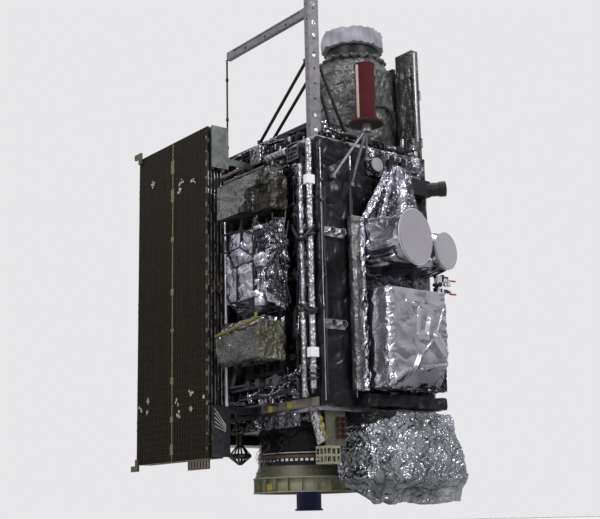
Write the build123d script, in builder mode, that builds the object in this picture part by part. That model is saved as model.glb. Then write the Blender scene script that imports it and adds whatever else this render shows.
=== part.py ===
from build123d import *
import os
from math import cos, radians, sin

os.makedirs("parts", exist_ok=True)

# A weather satellite folded for launch, hanging free. Millimetres, +Z up.
# The origin is the middle of the separation plane under the aft ring.
# Face A looks along -Y (folded solar array), face B along +X (antenna wing),
# face C along +Y and face D along -X.

# Aft ring, thrust cylinder and engine
CYLINDER_R = 597.0
CYLINDER_WALL = 20.0
RING_WEB_T = 15.0
RING_FLANGE_W = 63.0
RING_FLANGE_T = 14.0
RING_H = 180.0
RING_RIBS = 24
RING_RIB_T = 8.0
RING_RIB_INSET = 8.0
RING_BOLTS = 12
RING_BOLT_R = 5.5
RING_BOLT_OUT = 33.0
CONE_H = 130.0
CONE_INSET = 20.0
CONE_RIM = 12.0
ENGINE_BELL_R = 140.0
ENGINE_THROAT_R = 60.0
ENGINE_BELL_DROP = 150.0
ENGINE_THROAT_Z = 330.0
ENGINE_CHAMBER_R = 85.0
ENGINE_SHOULDER_H = 60.0
COVER_WALL = 10.0
COVER_FIT = 1.0
COVER_FLOOR_T = 60.0
COVER_REACH = 60.0
COVER_LIP = 18.0
COVER_LIP_T = 22.0

# Bus box
BUS_X = 2760.0
BUS_Y = 1740.0
AFT_DECK_Z = 850.0
AFT_DECK_T = 50.0
TOP_DECK_Z = 3990.0
TOP_DECK_T = 40.0
PANEL_SKIN_T = 30.0
RADIATOR_T = 14.0
RADIATOR_GAP = 40.0
RADIATOR_MARGIN = 130.0
RAIL_OUT = 45.0
RAIL_T = 30.0
BELLY_H = 130.0
BELLY_INSET = 110.0
BELLY_FIT = 4.0
BELLY_GAP = 20.0
TRAY_H = 110.0
TRAY_L = 420.0
COLUMN_OUT = 70.0
COLUMN_W = 500.0
COLUMN_LAP = 30.0
SACK_BACK = 960.0
SACK_LOW = -140.0
SACK_BELLY_Z = 120.0
SOFT_FIT = 0.3

# Folded solar array: five panels and a yoke, root hinge on a post
PANELS = 5
PANEL_W = 1640.0
PANEL_H = 4000.0
PANEL_LOW = 390.0
PANEL_T = 25.0
PANEL_GAP = 20.0
STACK_RIGHT = 70.0
STACK_FRONT = -1500.0
YOKE_T = 40.0
YOKE_RAIL = 70.0
YOKE_ROOT_MARGIN = 230.0
YOKE_TIP_MARGIN = 130.0
YOKE_SETBACK = 30.0
HINGE_OFF = 20.0
KNUCKLE_R = 9.0
KNUCKLE_BORE_R = 5.0
PIN_R = 4.5
KNUCKLE_L = 60.0
CHEEK_L = 30.0
CHEEK_GAP = 2.0
LUG_T = 12.0
HINGE_SHARES = (0.12, 0.5, 0.88)
POST_R = 28.0
POST_FIT = 0.5
POST_LOW = 960.0
POST_HIGH = 3420.0
POST_ARM_W = 70.0
POST_ARM_T = 40.0
POST_ARM_INSET = 60.0
ROOT_KNUCKLE_R = 38.0
ROOT_KNUCKLE_L = 120.0
ROOT_KNUCKLE_OFF = 520.0
HOLD_DOWN_R = 32.0
HOLD_DOWN_GAP = 8.0
HOLD_DOWN_INSET = 420.0
HOLD_DOWN_REACH = 1200.0
HOLD_DOWN_STAGGER = 150.0
TAB_W = 90.0
TAB_H = 70.0
TAB_T = 30.0
TAB_LIFT = 10.0
LADDER_L = 440.0
LADDER_H = 120.0
LADDER_SLOTS = 7
BRACKET_X = 140.0
BRACKET_T = 20.0
BRACKET_ARM_H = 80.0
BRACKET_REACH = 10.0
BRACKET_LAP = 60.0

# Instruments beside the array on face A: the upper box keeps its place under the top deck, the lower
# one over the aft deck, and the telescope cover fills what is left between them
BAY_LEFT = 170.0
BAY_FRONT = -1450.0
BAY_BACK = -1060.0
UPPER_RIGHT = 1070.0
UPPER_DROP = 410.0
UPPER_H = 420.0
UPPER_ROUND = 25.0
UPPER_RECESS_W = 310.0
UPPER_RECESS_H = 260.0
UPPER_RECESS_D = 120.0
SUN_PORT_X = 920.0
SUN_PORT_R = 85.0
SUN_PORT_BORE_R = 52.0
SUN_PORT_L = 80.0
SUN_PORT_STEPS = 3
LOWER_RIGHT = 980.0
LOWER_RISE = 540.0
LOWER_H = 490.0
LOWER_ROUND = 70.0
LOWER_SLOPE_DROP = 150.0
LOWER_SLOPE_IN = 110.0
FOIL_LEFT = 200.0
FOIL_RIGHT = 1080.0
FOIL_UNDER_GAP = 80.0
FOIL_OVER_GAP = 60.0
FOIL_WAIST_RISE = 600.0
FOIL_FOOT_IN = 80.0
FOIL_HEAD_IN = 70.0
FOIL_SHOULDER_IN = 130.0
FOIL_FACE = -1400.0
FOIL_SHRINK = 0.26
RACK_W = 60.0
RACK_D = 60.0
RACK_BAR = 40.0
RACK_OVERHANG = 60.0
RACK_UNDERHANG = 140.0
RACK_POST_INSET = 130.0
STANDOFF_W = 50.0
STANDOFF_FROM_LOW = 200.0
STANDOFF_FROM_HIGH = 140.0

# Corner tubes and the equipment along the top and bottom edges of face A
TUBE_OUT = 90.0
THIN_TUBE_R = 38.0
THICK_TUBE_R = 42.0
THIN_TUBE_IN = 20.0
THICK_TUBE_IN = 170.0
CLAMP_H = 36.0
CLAMP_WALL = 9.0
CLAMP_FOOT_W = 36.0
TUBE_BLOCK = 108.0
TUBE_BLOCK_FIT = 0.5
TUBE_BLOCK_RISE = 530.0
TUBE_BLOCK_DROP = 590.0
TANK_LEFT = 600.0
TANK_L = 400.0
TANK_R = 50.0
TANK_OUT = 130.0
TANK_DROP = 90.0
SADDLE_INSET = 90.0
SADDLE_W = 30.0
EDGE_BOX_LEFT = 250.0
EDGE_BOX_W = 210.0
EDGE_BOX_OUT = 130.0
EDGE_BOX_BELOW = 90.0
EDGE_BOX_ABOVE = 150.0
EDGE_BOX_ROUND = 18.0
DUCT_FOOT_INSET = 60.0
DUCT_FOOT_W = 40.0
GRILLE_BAR = 14.0
GRILLE_T = 40.0
GRILLE_SLAT = 10.0
GRILLE_LEG = 16.0
STUB_R = 18.0
VALVE_ROUND = 12.0
PURGE_ROD_R = 9.0

# Perforated mast on the near corner of the top deck
MAST_W = 80.0
MAST_D = 155.0
MAST_WALL = 8.0
MAST_H = 1920.0
MAST_HOLE_R = 14.0
MAST_HOLES = 10
MAST_INSET = 120.0
ARM_DROP = 350.0
ARM_DEPTH = 110.0
ARM_W = 60.0
ARM_L = 1720.0
ARM_SLOT_H = 18.0
ARM_SLOT_MARGIN = 150.0
ARM_EDGE = 16.0
ARM_NOTCH_W = 44.0
ROD_R = 12.0
ROD_INSET = 20.0
ROD_COLLAR_R = 19.0
ROD_COLLAR_H = 40.0
STRUT_R = 20.0
STRUT_END = 50.0
RAIL_OFF = 40.0
RAIL_W = 50.0
TRUSS_RISE = 200.0
TRUSS_W = 60.0
TRUSS_L = 2470.0
TRUSS_BAYS = 5
TRUSS_WEB_R = 11.0
TRUSS_FOOT_SHARE = 0.2
TRUSS_WEB_SHARE = 0.55

# Instruments on the top deck
TELESCOPE_X = 630.0
TELESCOPE_Y = 385.0
BODY_R = 500.0
BODY_H = 1430.0
BODY_SKIRT_H = 300.0
BODY_SKIRT_IN = 60.0
BODY_SHOULDER_H = 260.0
SIDE_BOX_W = 300.0
SIDE_BOX_H = 520.0
SIDE_BOX_OUT = 40.0
SIDE_BOX_TURN = 5.0
SIDE_BOX_SEAT = 0.9
BAFFLE_R = 330.0
BAFFLE_H = 340.0
BAFFLE_EASE = 30.0
BONNET_OUT = 45.0
BONNET_SKIRT = 180.0
BONNET_CROWN = 180.0
BONNET_HEM_H = 60.0
BONNET_BRIM_H = 130.0
BONNET_BRIM_IN = 110.0
TOWER_LEFT = 1040.0
TOWER_RIGHT = 1340.0
TOWER_T = 110.0
TOWER_H = 1460.0
TOWER_HEAD_H = 290.0
TOWER_RECESS = 30.0
TOWER_FRAME = 25.0
TOWER_FOOT_H = 120.0
SLAB_W = 110.0
SLAB_T = 50.0
SLAB_H = 1270.0
HANDLE_R = 6.0
HANDLE_L = 110.0
HANDLE_OUT = 38.0
HANDLE_RISES = (220.0, 850.0)

# Helix antenna off the corner of face B
HELIX_OUT = 220.0
HELIX_Y = -275.0
HELIX_RISE = 195.0
HELIX_H = 720.0
HELIX_R = 118.0
GROUND_R = 205.0
GROUND_T = 25.0
HUB_R = 60.0
HUB_H = 90.0
TRIPOD_R = 18.0

# Antenna wing on face B
WING_AXIS_OUT = 135.0
WING_AXIS_DROP = 100.0
WING_T = 50.0
WING_LEFT = -320.0
WING_RIGHT = 660.0
WING_LOW = 1080.0
WING_HIGH = 3080.0
WING_POCKET_D = 34.0
WING_RIB = 40.0
WING_ARM_W = 70.0
WING_ARM_Y = (160.0, 350.0)
WING_PIN_R = 14.0
WING_PIN_FIT = 0.5
WING_EAR_R = 38.0
WING_EAR_T = 20.0
WING_EAR_GAP = 6.0
VEIL_T = 55.0
VEIL_DROP = 110.0
VEIL_LEFT_OUT = 260.0
VEIL_RIGHT_OUT = 230.0
BEAM_W = 200.0
BEAM_D = 120.0
BEAM_OUT = 15.0
BEAM_ROUND = 45.0
BEAM_DROP = 10.0
BOX_FRONT = 1900.0
BOX_RIGHT = 600.0
BOX_HIGH = 2220.0
BOX_LAP = 10.0
BOX_ROUND = 30.0
PROBE_POST = 60.0
PROBE_POST_H = 210.0
PROBE_ROD_R = 8.0
PROBE_ROD_L = 70.0
PROBE_TIP_R = 11.0
PROBE_TIP_L = 50.0
PROBE_TIP_LAP = 20.0
DISH_TURN = 12.0
DISH_T = 14.0
DISH_RIM = 12.0
SHROUD_ROUND = 80.0

# Sensors and thruster pods on face B and the parts under the wing
SENSOR_Y = 10.0
SENSOR_DROP = 190.0
SENSOR_DISC_R = 85.0
SENSOR_DISC_T = 20.0
SENSOR_DISC_OUT = 80.0
STAR_LEFT = 460.0
STAR_RIGHT = 800.0
STAR_H = 200.0
STAR_DROP = 290.0
STAR_BODY_OUT = 150.0
STAR_TUBE_R = 85.0
STAR_TUBE_L = 267.0
STAR_TUBE_TURN = 55.7
STAR_TUBE_LIFT = 4.3
STAR_TUBE_INSET = 40.0
STAR_RIM_R = 95.0
STAR_RIM_L = 80.0
POD_W = 290.0
POD_H = 110.0
POD_T = 26.0
POD_ROUND = 20.0
NOZZLE_PITCH = 150.0
NOZZLE_THROAT_R = 20.0
NOZZLE_MOUTH_R = 42.0
NOZZLE_WALL = 5.0
NOZZLE_L = 75.0
HOUSING_OUT = 240.0
HOUSING_H = 140.0
HOUSING_LEFT_OUT = 70.0
HOUSING_RIGHT_OUT = 160.0
SACK_ROUND = 120.0

# Parts that hang under the aft deck
BICONE_X = -450.0
BICONE_Y = -700.0
BICONE_R = 140.0
BICONE_NECK_R = 45.0
BICONE_WALL = 9.0
BICONE_NECK_H = 140.0
BICONE_CONE_H = 115.0
BICONE_BAND_H = 24.0
BICONE_NOSE_H = 95.0
BICONE_RIBS = 8
PLATE_X = 1305.0
PLATE_T = 30.0
PLATE_LEFT = -775.0
PLATE_RIGHT = -490.0
PLATE_H = 380.0
CAP_R = 26.0
CAP_L = 45.0
CAP_PITCH_Y = 82.0
CAP_PITCH_Z = 64.0
CAP_RISE = 200.0
BASKET = 195.0
BASKET_WALL = 8.0
BASKET_ROWS = 2
BASKET_COLUMNS = 3
BASKET_WINDOW = 0.72
BASKET_LEFT_OUT = 25.0
BASKET_FRONT_OUT = 40.0
POUCH_T = 40.0
POUCH_OFF = 30.0

RING_WEB_R = CYLINDER_R + RING_WEB_T
RING_R = RING_WEB_R + RING_FLANGE_W
RING_BORE_R = CYLINDER_R - CYLINDER_WALL
RING_BOLT_CIRCLE_R = RING_WEB_R + RING_BOLT_OUT
CONE_TOP = RING_H + CONE_H
FACE_A_Y = -BUS_Y / 2
FACE_B_X = BUS_X / 2
FACE_C_Y = BUS_Y / 2
FACE_D_X = -BUS_X / 2
AFT_DECK_TOP = AFT_DECK_Z + AFT_DECK_T
DECK_TOP = TOP_DECK_Z + TOP_DECK_T
UPPER_HIGH = TOP_DECK_Z - UPPER_DROP
UPPER_LOW = UPPER_HIGH - UPPER_H
LOWER_LOW = AFT_DECK_TOP + LOWER_RISE
LOWER_HIGH = LOWER_LOW + LOWER_H
FOIL_LOW = LOWER_HIGH + FOIL_UNDER_GAP
FOIL_HIGH = UPPER_LOW - FOIL_OVER_GAP
FOIL_WAIST = FOIL_LOW + FOIL_WAIST_RISE
STACK_LEFT = STACK_RIGHT - PANEL_W
STACK_PITCH = PANEL_T + PANEL_GAP
YOKE_FRONT = STACK_FRONT + PANELS * STACK_PITCH
YOKE_MID = YOKE_FRONT + YOKE_T / 2
YOKE_ROOT_H = 2 * ROOT_KNUCKLE_OFF + 2 * YOKE_ROOT_MARGIN
YOKE_TIP_H = (HINGE_SHARES[-1] - HINGE_SHARES[0]) * PANEL_H + 2 * YOKE_TIP_MARGIN
PANEL_MID_Z = PANEL_LOW + PANEL_H / 2
LEFT_AXIS = STACK_LEFT - HINGE_OFF
RIGHT_AXIS = STACK_RIGHT + HINGE_OFF
WING_AXIS_X = FACE_B_X + WING_AXIS_OUT
WING_AXIS_Z = TOP_DECK_Z - WING_AXIS_DROP
WING_FACE_X = WING_AXIS_X + WING_T / 2
WING_BACK_X = WING_AXIS_X - WING_T / 2
MAST_X = FACE_B_X - MAST_INSET
MAST_Y = FACE_A_Y + MAST_D / 2
MAST_LEFT = MAST_X - MAST_W / 2
MAST_BACK = MAST_Y + MAST_D / 2
TRUSS_Z = DECK_TOP + TRUSS_RISE
TUBE_Y = FACE_A_Y - TUBE_OUT


def middle(low, high):
    """Middle of a stretch."""
    return (low + high) / 2


def block(x, y, z):
    """Adds a box that reaches between a low and a high value on each axis."""
    with Locations((middle(*x), middle(*y), middle(*z))):
        Box(abs(x[1] - x[0]), abs(y[1] - y[0]), abs(z[1] - z[0]))


def opening(x, y, z):
    """Cuts a box-shaped hole that reaches between a low and a high value on each axis."""
    with Locations((middle(*x), middle(*y), middle(*z))):
        Box(abs(x[1] - x[0]), abs(y[1] - y[0]), abs(z[1] - z[0]), mode=Mode.SUBTRACT)


def bar(start, end, radius):
    """Adds a round bar between two points."""
    run = Vector(*end) - Vector(*start)
    with BuildSketch(Plane(origin=start, z_dir=run)) as section:
        Circle(radius)
    extrude(section.sketch, amount=run.length)


def disc(x, y, low, radius, height):
    """Adds an upright round piece that starts at a height."""
    with BuildSketch(Plane.XY.offset(low)) as section:
        with Locations((x, y)):
            Circle(radius)
    extrude(section.sketch, amount=height)


def upright_plane(x, y):
    """Plane through an upright axis, its own X along +X and its own Y along +Z."""
    return Plane(origin=(x, y, 0), x_dir=(1, 0, 0), z_dir=(0, -1, 0))


# Aft ring: two flanges, a web, upright ribs and a cone up to the cylinder
with BuildPart() as separation_ring:
    with BuildSketch(Plane.XZ):
        with BuildLine():
            Polyline(
                (CYLINDER_R, 0),
                (RING_R, 0),
                (RING_R, RING_FLANGE_T),
                (RING_WEB_R, RING_FLANGE_T),
                (RING_WEB_R, RING_H - RING_FLANGE_T),
                (RING_R, RING_H - RING_FLANGE_T),
                (RING_R, RING_H),
                (RING_R - CONE_INSET, RING_H),
                (CYLINDER_R + CONE_RIM, CONE_TOP),
                (RING_BORE_R, CONE_TOP),
                (RING_BORE_R, CONE_TOP - RING_FLANGE_T),
                (CYLINDER_R, CONE_TOP - RING_FLANGE_T),
                (CYLINDER_R, 0),
            )
        make_face()
    revolve(axis=Axis.Z)
    with BuildSketch(Plane.XY.offset(RING_FLANGE_T)):
        rib_length = RING_FLANGE_W - RING_RIB_INSET
        with PolarLocations(RING_WEB_R + rib_length / 2, RING_RIBS):
            Rectangle(rib_length + 2, RING_RIB_T)
    extrude(amount=RING_H - 2 * RING_FLANGE_T)
    with BuildSketch(Plane.XY):
        with PolarLocations(RING_BOLT_CIRCLE_R, RING_BOLTS, start_angle=180 / RING_RIBS):
            Circle(RING_BOLT_R)
    extrude(amount=RING_FLANGE_T, mode=Mode.SUBTRACT)
separation_ring.part.label = "separation_ring"
export_step(separation_ring.part, "parts/separation_ring.step")

# Thrust cylinder with its bands
with BuildPart() as thrust_cylinder:
    with BuildSketch(Plane.XY.offset(CONE_TOP)):
        Circle(CYLINDER_R)
        Circle(RING_BORE_R, mode=Mode.SUBTRACT)
    extrude(amount=AFT_DECK_Z - CONE_TOP)
    # rise above the cone, height, reach out from the cylinder
    for band_rise, band_h, band_out in ((0.0, 45.0, 12.0), (55.0, 60.0, 6.0), (150.0, 14.0, 14.0)):
        with BuildSketch(Plane.XY.offset(CONE_TOP + band_rise)):
            Circle(CYLINDER_R + band_out)
            Circle(CYLINDER_R - CYLINDER_WALL / 2, mode=Mode.SUBTRACT)
        extrude(amount=band_h)
thrust_cylinder.part.label = "thrust_cylinder"
export_step(thrust_cylinder.part, "parts/thrust_cylinder.step")

# Apogee engine: chamber and bell on the axis
with BuildPart() as apogee_engine:
    with BuildSketch(Plane.XZ):
        with BuildLine():
            Polyline(
                (0, AFT_DECK_Z),
                (ENGINE_CHAMBER_R, AFT_DECK_Z),
                (ENGINE_CHAMBER_R, ENGINE_THROAT_Z + ENGINE_SHOULDER_H),
                (ENGINE_THROAT_R, ENGINE_THROAT_Z),
                (ENGINE_BELL_R, -ENGINE_BELL_DROP),
                (0, -ENGINE_BELL_DROP),
                (0, AFT_DECK_Z),
            )
        make_face()
    revolve(axis=Axis.Z)
apogee_engine.part.label = "apogee_engine"
export_step(apogee_engine.part, "parts/apogee_engine.step")

# Engine cover: a cup with a lip, hung over the bell
with BuildPart() as engine_cover:
    cup_r = ENGINE_BELL_R + COVER_FIT
    cup_low = -ENGINE_BELL_DROP - COVER_FLOOR_T
    with BuildSketch(Plane.XZ):
        with BuildLine():
            Polyline(
                (0, cup_low),
                (cup_r + COVER_WALL + COVER_LIP, cup_low),
                (cup_r + COVER_WALL + COVER_LIP, cup_low + COVER_LIP_T),
                (cup_r + COVER_WALL, cup_low + COVER_LIP_T),
                (cup_r + COVER_WALL, COVER_REACH),
                (cup_r, COVER_REACH),
                (cup_r, -ENGINE_BELL_DROP),
                (0, -ENGINE_BELL_DROP),
                (0, cup_low),
            )
        make_face()
    revolve(axis=Axis.Z)
engine_cover.part.label = "engine_cover"
export_step(engine_cover.part, "parts/engine_cover.step")

# Aft deck with a rail along faces A and C, and the closeout under it
with BuildPart() as aft_deck:
    with BuildSketch(Plane.XY.offset(AFT_DECK_Z)):
        Rectangle(BUS_X, BUS_Y)
    extrude(amount=AFT_DECK_T)
    with BuildSketch(Plane.XY.offset(AFT_DECK_Z)):
        Rectangle(BUS_X, BUS_Y + 2 * RAIL_OUT)
        Rectangle(BUS_X, BUS_Y, mode=Mode.SUBTRACT)
    extrude(amount=RAIL_T)
aft_deck.part.label = "aft_deck"
export_step(aft_deck.part, "parts/aft_deck.step")

with BuildPart() as belly_closeout:
    belly_left = FACE_D_X + BELLY_INSET
    belly_right = SACK_BACK - BELLY_GAP
    belly_low = AFT_DECK_Z - BELLY_H
    with BuildSketch(Plane.XY.offset(belly_low)):
        with Locations((middle(belly_left, belly_right), 0)):
            Rectangle(belly_right - belly_left, BUS_Y - 2 * BELLY_INSET)
    extrude(amount=BELLY_H)
    tray_y = BUS_Y / 2 - 2 * BELLY_INSET
    block((belly_left + BELLY_INSET, belly_left + BELLY_INSET + TRAY_L), (-tray_y, tray_y),
          (belly_low - TRAY_H, belly_low))
    with BuildSketch(Plane.XY.offset(belly_low - TRAY_H)):
        Circle(CYLINDER_R + CONE_RIM + BELLY_FIT)
    extrude(amount=BELLY_H + TRAY_H, mode=Mode.SUBTRACT)
belly_closeout.part.label = "belly_closeout"
export_step(belly_closeout.part, "parts/belly_closeout.step")

# Top deck and the four side panels of the bus
with BuildPart() as top_deck:
    with BuildSketch(Plane.XY.offset(TOP_DECK_Z)):
        Rectangle(BUS_X, BUS_Y)
    extrude(amount=TOP_DECK_T)
top_deck.part.label = "top_deck"
export_step(top_deck.part, "parts/top_deck.step")

inner_half_y = BUS_Y / 2 - PANEL_SKIN_T
with BuildPart() as face_a_panel:
    block((FACE_D_X, FACE_B_X), (FACE_A_Y, -inner_half_y), (AFT_DECK_TOP, TOP_DECK_Z))
face_a_panel.part.label = "face_a_panel"
export_step(face_a_panel.part, "parts/face_a_panel.step")

with BuildPart() as face_b_panel:
    block((FACE_B_X - PANEL_SKIN_T, FACE_B_X), (-inner_half_y, inner_half_y), (AFT_DECK_TOP, TOP_DECK_Z))
face_b_panel.part.label = "face_b_panel"
export_step(face_b_panel.part, "parts/face_b_panel.step")

# Face C carries two rows of radiator plates, face D one column
radiator_h = (TOP_DECK_Z - AFT_DECK_TOP - 2 * RADIATOR_MARGIN - 2 * RADIATOR_GAP) / 3
radiator_mid_z = middle(AFT_DECK_TOP, TOP_DECK_Z)
with BuildPart() as face_c_panel:
    block((FACE_D_X, FACE_B_X), (inner_half_y, FACE_C_Y), (AFT_DECK_TOP, TOP_DECK_Z))
    radiator_w = (BUS_X - 2 * RADIATOR_MARGIN - RADIATOR_GAP) / 2
    with BuildSketch(Plane(origin=(0, FACE_C_Y, radiator_mid_z), x_dir=(1, 0, 0), z_dir=(0, 1, 0))):
        with GridLocations(radiator_w + RADIATOR_GAP, radiator_h + RADIATOR_GAP, 2, 3):
            Rectangle(radiator_w, radiator_h)
    extrude(amount=RADIATOR_T)
face_c_panel.part.label = "face_c_panel"
export_step(face_c_panel.part, "parts/face_c_panel.step")

with BuildPart() as face_d_panel:
    block((FACE_D_X, FACE_D_X + PANEL_SKIN_T), (-inner_half_y, inner_half_y), (AFT_DECK_TOP, TOP_DECK_Z))
    with BuildSketch(Plane(origin=(FACE_D_X, 0, radiator_mid_z), x_dir=(0, 1, 0), z_dir=(-1, 0, 0))):
        with GridLocations(BUS_Y, radiator_h + RADIATOR_GAP, 1, 3):
            Rectangle(BUS_Y - 2 * RADIATOR_MARGIN, radiator_h)
    extrude(amount=RADIATOR_T)
face_d_panel.part.label = "face_d_panel"
export_step(face_d_panel.part, "parts/face_d_panel.step")

# Black blanket column down face B at the near corner
with BuildPart() as blanket_column:
    with BuildSketch(Plane.XY.offset(AFT_DECK_TOP)):
        with Locations((FACE_B_X, FACE_A_Y - COLUMN_LAP)):
            Rectangle(COLUMN_OUT, COLUMN_W, align=(Align.MIN, Align.MIN))
    extrude(amount=TOP_DECK_Z - AFT_DECK_TOP)
    fillet(blanket_column.edges().filter_by(Axis.Z).group_by(Axis.X)[-1], COLUMN_LAP)
blanket_column.part.label = "blanket_column"
export_step(blanket_column.part, "parts/blanket_column.step")


def lug(axis_x, axis_y, side, lift, low, length, bore):
    """Hinge lug. side is +1 where its piece lies towards +X of the edge, lift +1 beyond the gap towards +Y."""
    edge_x = axis_x - side * HINGE_OFF
    far_x = axis_x + side * KNUCKLE_R
    plate_y = axis_y + lift * PANEL_GAP / 2
    with BuildSketch(Plane.XY.offset(low)) as section:
        with Locations((axis_x, axis_y)):
            Circle(KNUCKLE_R)
        with Locations((axis_x, middle(axis_y, plate_y + lift * LUG_T))):
            Rectangle(2 * KNUCKLE_R, PANEL_GAP / 2 + LUG_T)
        with Locations((middle(edge_x - side, far_x), plate_y + lift * LUG_T / 2)):
            Rectangle(abs(far_x - edge_x) + 1, LUG_T)
        if bore:
            with Locations((axis_x, axis_y)):
                Circle(KNUCKLE_BORE_R, mode=Mode.SUBTRACT)
    extrude(section.sketch, amount=length)


def knuckles(axis_x, axis_y, side, lift):
    """Bored knuckles of the inner piece of a hinge line."""
    for share in HINGE_SHARES:
        low = PANEL_LOW + share * PANEL_H - KNUCKLE_L / 2
        lug(axis_x, axis_y, side, lift, low, KNUCKLE_L, True)


def cheeks(axis_x, axis_y, side, lift):
    """Cheeks and pins of the outer piece of a hinge line."""
    for share in HINGE_SHARES:
        mid = PANEL_LOW + share * PANEL_H
        reach = KNUCKLE_L / 2 + CHEEK_GAP
        lug(axis_x, axis_y, side, lift, mid + reach, CHEEK_L, False)
        lug(axis_x, axis_y, side, lift, mid - reach - CHEEK_L, CHEEK_L, False)
        with BuildSketch(Plane.XY.offset(mid - reach - 1)) as pin:
            with Locations((axis_x, axis_y)):
                Circle(PIN_R)
        extrude(pin.sketch, amount=2 * reach + 2)


def gap_y(number):
    """Middle of the gap on the inner side of a panel, 1 being the innermost."""
    return YOKE_FRONT - (number - 1) * STACK_PITCH - PANEL_GAP / 2


# Yoke: an open frame, short at the root post and tall at the panel
with BuildPart() as array_yoke:
    frame_right = STACK_RIGHT - YOKE_SETBACK
    with BuildSketch(Plane.XZ.offset(-YOKE_FRONT - YOKE_T)):
        with BuildLine():
            Polyline(
                (frame_right, PANEL_MID_Z - YOKE_ROOT_H / 2),
                (frame_right, PANEL_MID_Z + YOKE_ROOT_H / 2),
                (STACK_LEFT, PANEL_MID_Z + YOKE_TIP_H / 2),
                (STACK_LEFT, PANEL_MID_Z - YOKE_TIP_H / 2),
                close=True,
            )
        make_face()
        offset(amount=-YOKE_RAIL, kind=Kind.INTERSECTION, mode=Mode.SUBTRACT)
    extrude(amount=YOKE_T)
    for level in (-ROOT_KNUCKLE_OFF, ROOT_KNUCKLE_OFF):
        with BuildSketch(Plane.XY.offset(PANEL_MID_Z + level - ROOT_KNUCKLE_L / 2)):
            with Locations((RIGHT_AXIS, YOKE_MID)):
                Circle(ROOT_KNUCKLE_R)
            with Locations((middle(frame_right - 1, RIGHT_AXIS), YOKE_MID)):
                Rectangle(RIGHT_AXIS - frame_right + 1, YOKE_T)
            with Locations((RIGHT_AXIS, YOKE_MID)):
                Circle(POST_R + POST_FIT, mode=Mode.SUBTRACT)
        extrude(amount=ROOT_KNUCKLE_L)
    knuckles(LEFT_AXIS, gap_y(1), -1, 1)
array_yoke.part.label = "array_yoke"
export_step(array_yoke.part, "parts/array_yoke.step")


def release_tabs():
    """Covered tabs at the left corners of the outermost panel, clear above and below the others."""
    tab_y = (STACK_FRONT - TAB_T, STACK_FRONT)
    for edge_z, way in ((PANEL_LOW, -1), (PANEL_LOW + PANEL_H, 1)):
        near_z = edge_z + way * TAB_LIFT
        block((STACK_LEFT - TAB_W, STACK_LEFT + TAB_H), tab_y, (near_z, near_z + way * TAB_H))
        block((STACK_LEFT + TAB_LIFT, STACK_LEFT + TAB_H), tab_y, (edge_z - way * TAB_H, near_z))


def ladder():
    """Slotted bracket under the outermost panel, at its root end."""
    ladder_y = (STACK_FRONT, STACK_FRONT + PANEL_T)
    block((STACK_RIGHT - LADDER_L, STACK_RIGHT), ladder_y, (PANEL_LOW - LADDER_H, PANEL_LOW))
    pitch = LADDER_L / LADDER_SLOTS
    for slot in range(LADDER_SLOTS):
        slot_x = STACK_RIGHT - (slot + 0.5) * pitch
        opening((slot_x - pitch / 3, slot_x + pitch / 3), ladder_y,
                (PANEL_LOW - LADDER_H * 0.82, PANEL_LOW - LADDER_H * 0.24))


# The five panels, inner to outer. Odd panels hang on a left hinge line
for number in range(1, PANELS + 1):
    inner_y = gap_y(number) - PANEL_GAP / 2
    left_in = number % 2 == 1
    with BuildPart() as solar_panel:
        block((STACK_LEFT, STACK_RIGHT), (inner_y - PANEL_T, inner_y), (PANEL_LOW, PANEL_LOW + PANEL_H))
        cheeks(LEFT_AXIS if left_in else RIGHT_AXIS, gap_y(number), -1 if left_in else 1, -1)
        if number < PANELS:
            knuckles(RIGHT_AXIS if left_in else LEFT_AXIS, gap_y(number + 1), 1 if left_in else -1, 1)
        else:
            release_tabs()
            ladder()
    solar_panel.part.label = f"solar_panel_{number}"
    export_step(solar_panel.part, f"parts/solar_panel_{number}.step")

# Root post on standoff arms from face A
with BuildPart() as root_post:
    disc(RIGHT_AXIS, YOKE_MID, POST_LOW, POST_R, POST_HIGH - POST_LOW)
    for arm_z in (POST_LOW + POST_ARM_INSET, PANEL_MID_Z, POST_HIGH - POST_ARM_INSET):
        block(
            (RIGHT_AXIS - POST_ARM_W / 2, RIGHT_AXIS + POST_ARM_W / 2),
            (YOKE_MID, FACE_A_Y),
            (arm_z - POST_ARM_T / 2, arm_z + POST_ARM_T / 2),
        )
root_post.part.label = "root_post"
export_step(root_post.part, "parts/root_post.step")

# Array hold-down posts, just short of the innermost panel
with BuildPart() as hold_down_posts:
    post_tip = YOKE_FRONT - PANEL_GAP + HOLD_DOWN_GAP
    # x, rise above and drop below the middle of the stack
    for post_x, post_rise in (
        (STACK_LEFT + HOLD_DOWN_INSET, HOLD_DOWN_REACH),
        (STACK_RIGHT - HOLD_DOWN_INSET, HOLD_DOWN_REACH + HOLD_DOWN_STAGGER),
    ):
        for post_z in (PANEL_MID_Z - post_rise, PANEL_MID_Z + post_rise):
            bar((post_x, FACE_A_Y, post_z), (post_x, post_tip, post_z), HOLD_DOWN_R)
hold_down_posts.part.label = "hold_down_posts"
export_step(hold_down_posts.part, "parts/hold_down_posts.step")

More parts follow.
